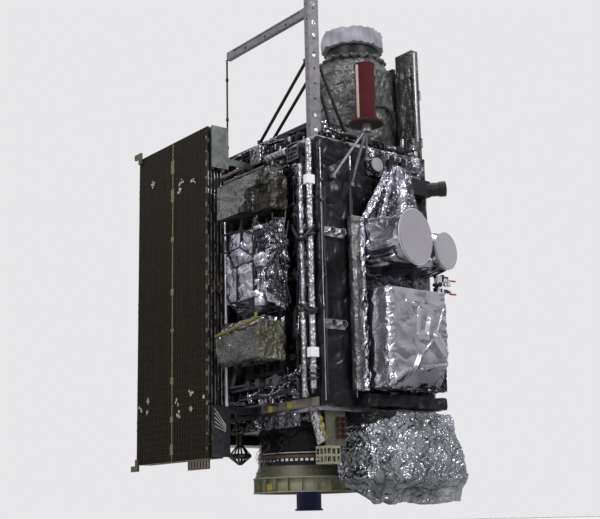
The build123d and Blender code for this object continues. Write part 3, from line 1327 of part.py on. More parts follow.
with BuildPart() as wrapped_sack:
    # height, x size, y size, set forward, middle y
    for sack_z, sack_x, sack_y, mid_x, mid_y in (
        (SACK_LOW, 420.0, 1150.0, 150.0, 500.0),
        (SACK_BELLY_Z, 660.0, 1480.0, 0.0, 400.0),
        (AFT_DECK_Z - SOFT_FIT, 620.0, 1250.0, 0.0, 300.0),
    ):
        with BuildSketch(Plane.XY.offset(sack_z)):
            with Locations((SACK_BACK + mid_x + sack_x / 2, mid_y)):
                RectangleRounded(sack_x, sack_y, SACK_ROUND)
    loft(ruled=True)
wrapped_sack.part.label = "wrapped_sack"
export_step(wrapped_sack.part, "parts/wrapped_sack.step")

# Small biconical antenna: a neck, a windowed cone, a band and a ribbed nose
with BuildPart() as bicone_antenna:
    neck_top = AFT_DECK_Z - BELLY_H
    cone_top = neck_top - BICONE_NECK_H
    band_top = cone_top - BICONE_CONE_H
    band_low = band_top - BICONE_BAND_H
    nose_low = band_low - BICONE_NOSE_H
    nose_r = BICONE_NECK_R / 2
    with BuildSketch(upright_plane(BICONE_X, BICONE_Y)):
        with BuildLine():
            Polyline(
                (0, neck_top),
                (BICONE_NECK_R, neck_top),
                (BICONE_NECK_R, cone_top),
                (BICONE_R, band_top),
                (BICONE_R, band_low),
                (nose_r, nose_low),
                (0, nose_low),
                (0, nose_low + BICONE_WALL),
                (nose_r, nose_low + BICONE_WALL),
                (BICONE_R - BICONE_WALL, band_low + BICONE_WALL / 2),
                (BICONE_R - BICONE_WALL, band_top),
                (BICONE_NECK_R - BICONE_WALL, cone_top - BICONE_WALL),
                (0, cone_top - BICONE_WALL),
                (0, neck_top),
            )
        make_face()
    revolve(axis=Axis((BICONE_X, BICONE_Y, 0), (0, 0, 1)))
    for rib in range(BICONE_RIBS):
        rib_turn = radians((rib + 0.5) * 360 / BICONE_RIBS)
        outwards = Plane(
            origin=(BICONE_X, BICONE_Y, 0),
            x_dir=(-sin(rib_turn), cos(rib_turn), 0),
            z_dir=(cos(rib_turn), sin(rib_turn), 0),
        )
        # width at the top, width at the bottom, top and bottom of the window
        for top_w, low_w, window_top, window_low in (
            (26.0, 74.0, cone_top - 22, band_top + 16),
            (66.0, 14.0, band_low - 12, nose_low + 26),
        ):
            with BuildSketch(outwards):
                with BuildLine():
                    Polyline(
                        (-top_w / 2, window_top),
                        (top_w / 2, window_top),
                        (low_w / 2, window_low),
                        (-low_w / 2, window_low),
                        close=True,
                    )
                make_face()
            extrude(amount=BICONE_R + BICONE_WALL, mode=Mode.SUBTRACT)
bicone_antenna.part.label = "bicone_antenna"
export_step(bicone_antenna.part, "parts/bicone_antenna.step")

# Connector plate with eight capped connectors below the near corner
with BuildPart() as connector_bracket:
    plate_low = AFT_DECK_Z - PLATE_H
    block((PLATE_X - PLATE_T / 2, PLATE_X + PLATE_T / 2), (PLATE_LEFT, PLATE_RIGHT), (plate_low, AFT_DECK_Z))
    caps_mid = (PLATE_X + PLATE_T / 2, PLATE_RIGHT - CAP_PITCH_Y, plate_low + CAP_RISE)
    with BuildSketch(Plane(origin=caps_mid, x_dir=(0, 1, 0), z_dir=(1, 0, 0))):
        with GridLocations(CAP_PITCH_Y, CAP_PITCH_Z, 2, 4):
            Circle(CAP_R)
    extrude(amount=CAP_L)
connector_bracket.part.label = "connector_bracket"
export_step(connector_bracket.part, "parts/connector_bracket.step")

# Perforated basket under the plate, open below
with BuildPart() as basket_bracket:
    basket_front = PLATE_X + PLATE_T / 2 + BASKET_FRONT_OUT
    basket_x = (basket_front - BASKET, basket_front)
    basket_y = (PLATE_LEFT - BASKET_LEFT_OUT, PLATE_LEFT - BASKET_LEFT_OUT + BASKET)
    basket_top = AFT_DECK_Z - PLATE_H
    basket_low = basket_top - BASKET
    block(basket_x, basket_y, (basket_low, basket_top))
    opening((basket_x[0] + BASKET_WALL, basket_x[1] - BASKET_WALL),
            (basket_y[0] + BASKET_WALL, basket_y[1] - BASKET_WALL),
            (basket_low, basket_top - BASKET_WALL))
    window_w = BASKET / BASKET_COLUMNS
    window_h = (BASKET - 3 * BASKET_WALL) / BASKET_ROWS
    half_share = BASKET_WINDOW / 2
    for column in range(BASKET_COLUMNS):
        along = ((column + 0.5 - half_share) * window_w, (column + 0.5 + half_share) * window_w)
        for row in range(BASKET_ROWS):
            row_z = basket_low + BASKET_WALL + (row + 0.5) * window_h
            window_z = (row_z - window_h * half_share, row_z + window_h * half_share)
            opening((basket_x[0] + along[0], basket_x[0] + along[1]), basket_y, window_z)
            opening(basket_x, (basket_y[0] + along[0], basket_y[0] + along[1]), window_z)
basket_bracket.part.label = "basket_bracket"
export_step(basket_bracket.part, "parts/basket_bracket.step")

# Foil pouch that hangs from the deck edge beside the plate
with BuildPart() as foil_pouch:
    pouch_top = AFT_DECK_Z - SOFT_FIT
    with BuildSketch(Plane.XZ.offset(-PLATE_LEFT + POUCH_OFF)):
        with BuildLine():
            Polyline(
                (PLATE_X - 190, pouch_top),
                (PLATE_X - 20, pouch_top),
                (PLATE_X + 90, pouch_top - 320),
                (PLATE_X - 60, pouch_top - 372),
                close=True,
            )
        make_face()
    extrude(amount=POUCH_T)
foil_pouch.part.label = "foil_pouch"
export_step(foil_pouch.part, "parts/foil_pouch.step")
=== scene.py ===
from math import cos, pi, radians, sin

import bpy
import numpy as np
from bpy.props import FloatProperty, FloatVectorProperty, PointerProperty
from mathutils import Matrix, Vector


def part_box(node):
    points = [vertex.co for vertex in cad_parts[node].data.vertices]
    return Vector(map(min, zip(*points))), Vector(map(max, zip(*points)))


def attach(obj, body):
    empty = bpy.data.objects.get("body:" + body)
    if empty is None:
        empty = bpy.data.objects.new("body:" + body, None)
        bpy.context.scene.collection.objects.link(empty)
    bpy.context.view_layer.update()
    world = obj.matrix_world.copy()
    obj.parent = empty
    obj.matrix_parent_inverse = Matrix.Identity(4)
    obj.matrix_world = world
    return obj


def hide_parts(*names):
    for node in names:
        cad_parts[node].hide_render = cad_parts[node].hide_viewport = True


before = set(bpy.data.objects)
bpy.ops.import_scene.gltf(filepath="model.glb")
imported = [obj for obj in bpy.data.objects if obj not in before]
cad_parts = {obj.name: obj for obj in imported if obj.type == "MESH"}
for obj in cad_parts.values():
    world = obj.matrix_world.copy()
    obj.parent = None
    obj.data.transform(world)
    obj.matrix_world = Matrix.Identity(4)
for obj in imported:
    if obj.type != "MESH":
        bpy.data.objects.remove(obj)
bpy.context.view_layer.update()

bl_info = {
    "name": "Folded Weather Satellite",
    "version": (1, 0, 0),
    "blender": (4, 5, 0),
    "location": "View3D > Sidebar > Satellite",
    "description": "Blankets, finishes and trim of a weather satellite folded for launch",
    "category": "Object",
}

# Metres, +Z up. Face A looks along -Y (folded array), face B along +X (antenna wing).
FACE_A_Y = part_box("face_a_panel")[0].y
FACE_B_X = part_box("face_b_panel")[1].x
DECK_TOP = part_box("top_deck")[1].z
AFT_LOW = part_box("aft_deck")[0].z
AFT_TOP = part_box("face_a_panel")[0].z

# Solar array stack
PANELS = 5
STACK_LEFT = -1.570
STACK_RIGHT = 0.070
STACK_LOW = 0.390
STACK_HIGH = 4.390
STACK_FRONT = -1.500
STACK_PITCH = 0.045
PANEL_T = 0.025
CELL_COLUMNS = 28
CELL_ROWS = 48
CELL_GAP = 0.007
CELL_EDGE = 0.001
CELL_T = 0.002
FILM_GAP = 0.004

# Finer meshes than the usual one: its share for large films, and a size for small pieces
FINE = 0.8
SMALL_VOXEL = 0.006

# Camera, found from the photograph's perspective
LENS_MM = 68.65
SENSOR_MM = 36.0
EYE = Vector((11.192, -8.760, -0.341))
YAW = radians(52.139)
PITCH = radians(12.916)
ROLL = radians(-1.214)

# Floor, and the point that the lamps look at
FLOOR_Z = -0.36
FLOOR_SIZE = 80
AIM = Vector((0, 0, 2.6))

# Finishes of each material slot
FINISHES = {}


class SatelliteColours(bpy.types.PropertyGroup):
    """Base colours of the finishes."""

    silver: FloatVectorProperty(
        name="Silver film", description="Crushed silver film of the blankets", subtype="COLOR",
        default=(0.36, 0.355, 0.385))
    black: FloatVectorProperty(
        name="Black film", description="Black outer layer of the blankets", subtype="COLOR",
        default=(0.009, 0.009, 0.011))
    grey: FloatVectorProperty(
        name="Grey blanket", description="Dull grey blankets", subtype="COLOR", default=(0.088, 0.086, 0.087))
    olive: FloatVectorProperty(
        name="Ring paint", description="Olive paint of the aft ring", subtype="COLOR",
        default=(0.19, 0.185, 0.13))
    mast: FloatVectorProperty(
        name="Mast paint", description="Lilac grey of the mast and its arm", subtype="COLOR",
        default=(0.160, 0.152, 0.168))
    dish: FloatVectorProperty(
        name="Dish paint", description="Flat dish covers", subtype="COLOR", default=(0.275, 0.26, 0.29))
    red: FloatVectorProperty(
        name="Red cover", description="Cloth over the helix antenna", subtype="COLOR",
        default=(0.060, 0.005, 0.009))
    bonnet: FloatVectorProperty(
        name="Bonnet cloth", description="Cloth over the telescope's mouth", subtype="COLOR",
        default=(0.25, 0.25, 0.285))
    cell: FloatVectorProperty(
        name="Solar cell", description="Face of the solar cells", subtype="COLOR",
        default=(0.0075, 0.0065, 0.0055))
    tape: FloatVectorProperty(
        name="Amber tape", description="Tape along the blankets' edges", subtype="COLOR",
        default=(0.125, 0.108, 0.012))


class SatelliteFolds(bpy.types.PropertyGroup):
    """How deep and how wide the folds of the blankets are."""

    blanket: FloatProperty(
        name="Blanket folds", description="Height of the folds on stretched blankets", unit="LENGTH",
        default=0.011)
    film: FloatProperty(
        name="Film folds", description="Height of the folds on loose film", unit="LENGTH", default=0.017)
    sack: FloatProperty(
        name="Sack folds", description="Height of the folds on the wrapped sack", unit="LENGTH",
        default=0.036)
    width: FloatProperty(
        name="Fold width", description="Width of the largest folds", unit="LENGTH", default=0.24)
    voxel: FloatProperty(
        name="Fold detail", description="Mesh size on which folds are pressed", unit="LENGTH", default=0.010)


def take(obj):
    """Makes one object the only selected one."""
    bpy.ops.object.select_all(action="DESELECT")
    obj.select_set(True)
    bpy.context.view_layer.objects.active = obj
    return obj


def settle():
    """Puts the new primitive's place into its mesh and returns it."""
    obj = take(bpy.context.object)
    bpy.ops.object.transform_apply(location=True, rotation=True, scale=True)
    return obj


def new_object(name, data):
    """Puts a new object in the scene."""
    obj = bpy.data.objects.new(name, data)
    bpy.context.collection.objects.link(obj)
    return obj


def modify(obj, kind, **values):
    """Adds a modifier and applies it."""
    modifier = obj.modifiers.new(kind.title(), kind)
    for name, value in values.items():
        setattr(modifier, name, value)
    take(obj)
    bpy.ops.object.modifier_apply(modifier=modifier.name)
    return obj


def slab(low, high, rounding=0.0):
    """A box between two corners with its edges rounded."""
    low, high = Vector(low), Vector(high)
    bpy.ops.mesh.primitive_cube_add(size=1, location=(low + high) / 2, scale=high - low)
    obj = settle()
    if rounding:
        modify(obj, "BEVEL", width=rounding, segments=2)
    return obj


def rod(start, end, radius, sides):
    """A round bar between two points."""
    start, end = Vector(start), Vector(end)
    run = end - start
    bpy.ops.mesh.primitive_cone_add(
        vertices=sides, radius1=radius, radius2=radius, depth=run.length, location=(start + end) / 2,
        rotation=run.to_track_quat("Z", "Y").to_euler())
    return settle()


def hoop(centre, radius, thickness, turn, sides):
    """A ring with a round section."""
    bpy.ops.mesh.primitive_torus_add(
        location=centre, rotation=turn, major_radius=radius, minor_radius=thickness,
        major_segments=sides, minor_segments=8)
    return settle()


def collar(radius, low, high):
    """A thin round band about the upright axis."""
    bpy.ops.mesh.primitive_cylinder_add(
        vertices=96, radius=radius, depth=high - low, end_fill_type="NOTHING",
        location=(0, 0, (low + high) / 2))
    return modify(settle(), "SOLIDIFY", thickness=0.004, offset=1.0)


# How a flat grid is turned to face each way
FACINGS = {"-y": (pi / 2, 0, 0), "+x": (pi / 2, 0, pi / 2), "+z": (0, 0, 0)}


def sheet_grid(centre, width, length, facing, step):
    """A flat grid that faces one way, with squares of about one size."""
    bpy.ops.mesh.primitive_grid_add(
        x_subdivisions=max(2, round(width / step)), y_subdivisions=max(2, round(length / step)), size=1,
        location=centre, rotation=FACINGS[facing])
    bpy.context.object.scale = (width, length, 1)
    return settle()


def line_of(points, radius, bends=True):
    """A tube along points. Its bends are smooth or sharp."""
    curve = bpy.data.curves.new("line", "CURVE")
    curve.dimensions = "3D"
    curve.bevel_depth = radius
    curve.bevel_resolution = 2
    curve.use_fill_caps = True
    spline = curve.splines.new("NURBS" if bends else "POLY")
    spline.points.add(len(points) - 1)
    for place, point in zip(spline.points, points):
        place.co = (*point, 1.0)
    if bends:
        spline.order_u = 3
        spline.use_endpoint_u = True
        spline.resolution_u = 4
    take(new_object("line", curve))
    bpy.ops.object.convert(target="MESH")
    return bpy.context.object


def joined(pieces):
    """Joins pieces into one mesh."""
    take(pieces[0])
    if len(pieces) > 1:
        for piece in pieces:
            piece.select_set(True)
        bpy.ops.object.join()
    return bpy.context.object


def repeated(stamp, places):
    """Joins a copy of a small shape at each place."""
    corners = [vertex.co.copy() for vertex in stamp.data.vertices]
    faces = [tuple(face.vertices) for face in stamp.data.polygons]
    spots, rings = [], []
    for place in places:
        shift = len(spots)
        spots += [place @ corner for corner in corners]
        rings += [[index + shift for index in face] for face in faces]
    mesh = bpy.data.meshes.new("repeated")
    mesh.from_pydata(spots, [], rings)
    stamp.data = mesh
    return stamp


def round_places(count, radius, height):
    """Places evenly round the upright axis, each turned outwards."""
    return [Matrix.Rotation(turn, 4, "Z") @ Matrix.Translation((radius, 0, height))
            for turn in np.linspace(0, 2 * pi, count, endpoint=False)]


def wander(low, high, axis, count, radius, seed, bends=5):
    """Hoses that wander side by side through a box, along one axis."""
    random = np.random.default_rng(seed)
    low, high = np.array(low, dtype=float), np.array(high, dtype=float)
    hoses = []
    for _ in range(count):
        first, last = sorted(random.uniform(0, 1, 2))
        if last - first < 0.4:
            first, last = random.uniform(0, 0.2), random.uniform(0.75, 1)
        points = low + (high - low) * random.uniform(size=(bends, 3))
        sway = 0.25 + 0.35 * random.uniform()
        points = points[0] + (points - points[0]) * sway
        points[:, axis] = low[axis] + (high[axis] - low[axis]) * np.linspace(first, last, bends)
        hoses.append(line_of([tuple(point) for point in points], radius * random.uniform(0.7, 1.2)))
    return joined(hoses)


def studs(low, high, count, size, seed):
    """Small blocks at random places in a box: clamps, plugs and brackets."""
    random = np.random.default_rng(seed)
    low, high = np.array(low, dtype=float), np.array(high, dtype=float)
    stamp = slab((-0.5, -0.5, -0.5), (0.5, 0.5, 0.5), 0.08)
    places = []
    for _ in range(count):
        sides = size * random.uniform(0.5, 1.6, 3)
        spot = low + sides / 2 + (high - low - sides) * random.uniform(size=3)
        places.append(Matrix.Translation(spot) @ Matrix.Diagonal((*sides, 1)))
    return repeated(stamp, places)


def skin_of(node, voxel):
    """A closed skin over a CAD node, on an even mesh."""
    obj = new_object("skin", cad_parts[node].data.copy())
    modify(obj, "WELD", merge_threshold=0.0001)
    modify(obj, "REMESH", mode="VOXEL", voxel_size=voxel)
    obj.data.materials.clear()
    return obj


def zigzag(phase):
    """Straight folds, from -1 at a valley to 1 at a ridge."""
    return 4 * np.abs(phase % 1 - 0.5) - 1


def fold_heights(spots, width, seed, sizes):
    """Heights of crushed film, about -1 to 1: straight creases that cross at random, at several sizes."""
    random = np.random.default_rng(seed)
    total = np.zeros(len(spots))
    weight, reach = 1.0, 0.0
    for _ in range(sizes):
        for _ in range(5):
            across = random.normal(size=3)
            across /= np.linalg.norm(across)
            sway = random.normal(size=3) * (1.7 / width)
            phase = spots @ across / width + 0.28 * np.sin(spots @ sway + random.uniform(0, 2 * pi))
            total += weight * zigzag(phase + random.uniform())
        reach += weight * 2.2
        weight *= 0.5
        width *= 0.45
    return np.clip(total / reach, -1.2, 1.2)


def mesh_spots(obj):
    """Places of a mesh's corners, one row each."""
    spots = np.empty(len(obj.data.vertices) * 3)
    obj.data.vertices.foreach_get("co", spots)
    return spots.reshape(-1, 3)


def place_spots(obj, spots):
    """Moves a mesh's corners."""
    obj.data.vertices.foreach_set("co", spots.ravel())
    obj.data.update()


def press(obj, rise):
    """Moves each corner of a mesh along its normal."""
    spots = mesh_spots(obj)
    ways = np.empty(spots.size)
    obj.data.vertex_normals.foreach_get("vector", ways)
    place_spots(obj, spots + ways.reshape(-1, 3) * rise[:, None])


def crumple(obj, height, width, seed, keep=0.4, stretch=(1, 1, 1), sizes=3, held=None):
    """Presses folds into a mesh along its normals, then lets flat stretches merge into facets.
    stretch lengthens the folds along each axis, and held gives the share of the height at x, y and z."""
    spots = mesh_spots(obj)
    rise = fold_heights(spots / np.array(stretch), width, seed, sizes) * height
    if held is not None:
        rise = rise * held(*spots.T)
    press(obj, rise)
    if keep < 1:
        modify(obj, "DECIMATE", ratio=keep)


def between(values, low, high):
    """Rises smoothly from 0 at the low value to 1 at the high one."""
    share = np.clip((values - low) / (high - low), 0, 1)
    return share * share * (3 - 2 * share)


def off_line(spots, axes, start, end):
    """Distance of each corner from a line between two points, seen along the third axis."""
    flat = spots[:, axes]
    start, end = np.array(start), np.array(end)
    run = end - start
    share = np.clip((flat - start) @ run / (run @ run), 0, 1)
    return np.linalg.norm(flat - start - share[:, None] * run, axis=1)


def settle_film(obj, growth, reach, frames, seed):
    """Lets a film grow a little and buckle into its own wrinkles, no corner moving further than reach."""
    start = mesh_spots(obj)
    random = np.random.default_rng(seed)
    place_spots(obj, start + random.normal(scale=0.002, size=start.shape))
    cloth = obj.modifiers.new("Cloth", "CLOTH")
    film = cloth.settings
    film.effector_weights.gravity = 0
    film.shrink_min = -growth
    film.quality = 4
    film.tension_stiffness = film.compression_stiffness = 40
    film.shear_stiffness = 10
    film.bending_stiffness = 0.3
    cloth.collision_settings.use_collision = False
    for number in range(1, frames + 1):
        bpy.context.scene.frame_set(number)
    take(obj)
    bpy.ops.object.modifier_apply(modifier=cloth.name)
    bpy.context.scene.frame_set(1)
    moved = mesh_spots(obj) - start
    far = np.linalg.norm(moved, axis=1)
    place_spots(obj, start + moved * (reach * np.tanh(far / reach) / np.maximum(far, 1e-6))[:, None])


def paint_part(obj, finish, chosen):
    """Gives the faces that chosen picks, by x, y and z of their middles, another finish."""
    obj.data.materials.append(FINISHES[finish])
    faces = obj.data.polygons
    middles = np.empty(len(faces) * 3)
    faces.foreach_get("center", middles)
    slots = np.empty(len(faces), dtype=np.int32)
    faces.foreach_get("material_index", slots)
    slots[chosen(*middles.reshape(-1, 3).T)] = len(obj.data.materials) - 1
    faces.foreach_set("material_index", slots)


def finish_piece(obj, name, finish, body="bus", replaces=(), smooth=38):
    """Names a piece, gives it its finish and lets it ride on its body."""
    obj.name = name
    obj.data.name = name
    obj.data.materials.clear()
    obj.data.materials.append(FINISHES[finish])
    take(obj)
    bpy.ops.object.shade_smooth_by_angle(angle=radians(smooth))
    if replaces:
        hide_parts(*replaces)
    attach(obj, body)


def cover(node, name, finish, voxel, height, width, seed, body="bus", **folds):
    """Wraps a CAD node in crumpled film, which takes its place."""
    film = skin_of(node, voxel)
    crumple(film, height, width, seed, **folds)
    finish_piece(film, name, finish, body, replaces=[node])
    return film


def finish_sheet(film, name, finish, body="bus"):
    """Finishes a sheet of film."""
    finish_piece(film, name, finish, body)


def lay_blocks(*rows, body="bus"):
    """Small blocks. A row holds name, finish, low corner, high corner, count, size and seed."""
    for name, finish, low, high, count, size, seed in rows:
        finish_piece(studs(low, high, count, size, seed), name, finish, body)


def lay_hoses(name, finish, *rows):
    """Hoses as one piece. A row holds low corner, high corner, axis, count, radius, seed and bends."""
    finish_piece(joined([wander(*row) for row in rows]), name, finish)


def lay_slabs(name, finish, *corners, rounding=0.0, body="bus"):
    """Flat blocks as one piece, each between two corners."""
    finish_piece(joined([slab(low, high, rounding) for low, high in corners]), name, finish, body)


def new_finish(name, colour, metallic=0.0, roughness=0.5, sheen=0.0, specular=0.5):
    """A finish with its plain values on the shader."""
    made = bpy.data.materials.new(name)
    made.use_nodes = True
    shader = made.node_tree.nodes["Principled BSDF"]
    for socket, value in (
            ("Base Color", (*colour, 1.0)), ("Metallic", metallic), ("Roughness", roughness),
            ("Sheen Weight", sheen), ("Specular IOR Level", specular)):
        shader.inputs[socket].default_value = value
    FINISHES[name] = made
    return made


def add_node(owner, kind, values=None, **settings):
    """Adds a shader node with its settings and socket values to a finish or to the sky."""
    made = owner.node_tree.nodes.new(kind)
    for name, value in settings.items():
        setattr(made, name, value)
    for socket, value in (values or {}).items():
        if isinstance(value, bpy.types.NodeSocket):
            owner.node_tree.links.new(value, made.inputs[socket])
        else:
            made.inputs[socket].default_value = value
    return made


def to_shader(finish, socket, source):
    """Wires an output to the shader."""
    shader = finish.node_tree.nodes["Principled BSDF"]
    finish.node_tree.links.new(source, shader.inputs[socket])


def coordinates(finish, drift=0.0):
    """Object coordinates, bent a little."""
    place = add_node(finish, "ShaderNodeTexCoord").outputs["Object"]
    if drift:
        noise = add_node(finish, "ShaderNodeTexNoise", {"Vector": place, "Scale": 4.0, "Detail": 2.0})
        place = add_node(
            finish, "ShaderNodeVectorMath", {0: noise.outputs["Color"], 1: (drift,) * 3, 2: place},
            operation="MULTIPLY_ADD").outputs[0]
    return place


def clouds(finish, place, scale, detail, stops, roughness=0.5):
    """A cloudy tone, as its value and its colour. stops holds position and colour."""
    noise = add_node(finish, "ShaderNodeTexNoise", {
        "Vector": place, "Scale": scale, "Detail": detail, "Roughness": roughness})
    return noise.outputs["Fac"], ramp(finish, noise.outputs["Fac"], stops)


def tones(finish, place, size, stops):
    """Colours the surface cell by cell from a ramp. stops holds position and colour."""
    cells = add_node(finish, "ShaderNodeTexVoronoi", {"Vector": place, "Scale": 1 / size})
    value = add_node(finish, "ShaderNodeSeparateColor", {"Color": cells.outputs["Color"]}).outputs["Red"]
    return ramp(finish, value, stops, "CONSTANT")


def ramp(owner, value, stops, kind="LINEAR"):
    """A colour ramp. stops holds position and colour."""
    made = add_node(owner, "ShaderNodeValToRGB", {"Fac": value})
    made.color_ramp.interpolation = kind
    points = made.color_ramp.elements
    while len(points) < len(stops):
        points.new(0.5)
    for point, (position, colour) in zip(points, stops):
        point.position = position
        point.color = (*colour, 1.0)
    return made.outputs["Color"]


def mixed(finish, share, first, second, blend="MIX"):
    """Mixes two colours."""
    made = add_node(finish, "ShaderNodeMix", data_type="RGBA", blend_type=blend)
    made.inputs[0].default_value = share
    for socket, colour in ((6, first), (7, second)):
        finish.node_tree.links.new(colour, made.inputs[socket])
    return made.outputs[2]


def facets(finish, place, sizes):
    """Tilts the surface one small flat facet at a time. sizes holds size and tilt."""
    normal = add_node(finish, "ShaderNodeNewGeometry").outputs["Normal"]
    for size, tilt in sizes:
        cells = add_node(finish, "ShaderNodeTexVoronoi", {"Vector": place, "Scale": 1 / size})
        normal = add_node(
            finish, "ShaderNodeVectorMath", {0: cells.outputs["Color"], 1: (2 * tilt,) * 3, 2: normal},
            operation="MULTIPLY_ADD").outputs[0]
        normal = add_node(
            finish, "ShaderNodeVectorMath", {0: normal, 1: (tilt,) * 3}, operation="SUBTRACT").outputs[0]
    normal = add_node(finish, "ShaderNodeVectorMath", {0: normal}, operation="NORMALIZE").outputs[0]
    to_shader(finish, "Normal", normal)


def creases(finish, place, sizes):
    """Sharp winding creases with smooth film between them. sizes holds size and tilt."""
    normal = {}
    for size, tilt in sizes:
        noise = add_node(finish, "ShaderNodeTexNoise", {
            "Vector": place, "Scale": 1 / size, "Detail": 1.0, "Roughness": 0.5, "Distortion": 0.35})
        side = add_node(finish, "ShaderNodeMath", {0: noise.outputs["Fac"], 1: 0.5}, operation="SUBTRACT")
        fold = add_node(finish, "ShaderNodeMath", {0: side.outputs[0]}, operation="ABSOLUTE")
        bump = add_node(finish, "ShaderNodeBump", {
            "Height": fold.outputs[0], "Strength": 1.0, "Distance": 2.6 * tilt * size, **normal})
        normal = {"Normal": bump.outputs["Normal"]}
    to_shader(finish, "Normal", normal["Normal"])


def grain(finish, place, scale, depth):
    """Fine bumps over the surface."""
    noise = add_node(finish, "ShaderNodeTexNoise", {"Vector": place, "Scale": scale, "Detail": 3.0})
    bump = add_node(finish, "ShaderNodeBump", {
        "Height": noise.outputs["Fac"], "Strength": 0.6, "Distance": depth})
    to_shader(finish, "Normal", bump.outputs["Normal"])


def shade(colour, share):
    """A colour made darker or lighter."""
    return tuple(min(1.0, part * share) for part in colour)


def film_finish(name, colour, metallic, roughness, tilts, low, high, cell, specular=0.5, glitter=False):
    """Thin film over a cloudy tone with darker patches. It is crushed, or glitters facet by facet."""
    made = new_finish(name, colour, metallic=metallic, roughness=roughness, specular=specular)
    place = coordinates(made, drift=0.10)
    _, broad = clouds(made, place, 3.0, 4.0, ((0.35, shade(colour, low)), (0.65, shade(colour, high))))
    fine = tones(made, place, cell, ((0.0, shade((1, 1, 1), low)), (0.3, (0.9,) * 3), (0.75, (1.0,) * 3)))
    to_shader(made, "Base Color", mixed(made, 0.8 if glitter else 0.5, broad, fine, "MULTIPLY"))
    relief = facets if glitter else creases
    relief(made, place, tilts)


def painted_finish(name, colour, roughness, metallic, wear, scale=14.0, specular=0.5):
    """Paint or metal with cloudy tone, cloudy gloss and fine grain."""
    made = new_finish(name, colour, metallic=metallic, roughness=roughness, specular=specular)
    place = coordinates(made)
    cloud, tone = clouds(made, place, scale, 6.0, (
        (0.3, shade(colour, 1 - wear)), (0.5, colour), (0.7, shade(colour, 1 + wear))), 0.65)
    to_shader(made, "Base Color", tone)
    gloss = add_node(made, "ShaderNodeMapRange", {
        "Value": cloud, "To Min": roughness - 0.12, "To Max": roughness + 0.12})
    to_shader(made, "Roughness", gloss.outputs[0])
    grain(made, place, 160.0, 0.0015)


def cloth_finish(name, colour, weave, depth, sheen, specular):
    """Woven cloth: two crossed threads and a cloudy tone."""
    made = new_finish(name, colour, roughness=0.8, sheen=sheen, specular=specular)
    place = coordinates(made)
    _, tone = clouds(made, place, 5.0, 5.0, ((0.3, shade(colour, 0.72)), (0.7, shade(colour, 1.15))))
    to_shader(made, "Base Color", tone)
    threads = [add_node(made, "ShaderNodeTexWave", {
        "Vector": place, "Scale": weave, "Distortion": 1.5}, bands_direction=way).outputs["Fac"]
        for way in ("Z", "DIAGONAL")]
    height = add_node(made, "ShaderNodeMath", {0: threads[0], 1: threads[1]}, operation="MAXIMUM")
    bump = add_node(made, "ShaderNodeBump", {
        "Height": height.outputs[0], "Strength": 0.5, "Distance": depth})
    to_shader(made, "Normal", bump.outputs["Normal"])


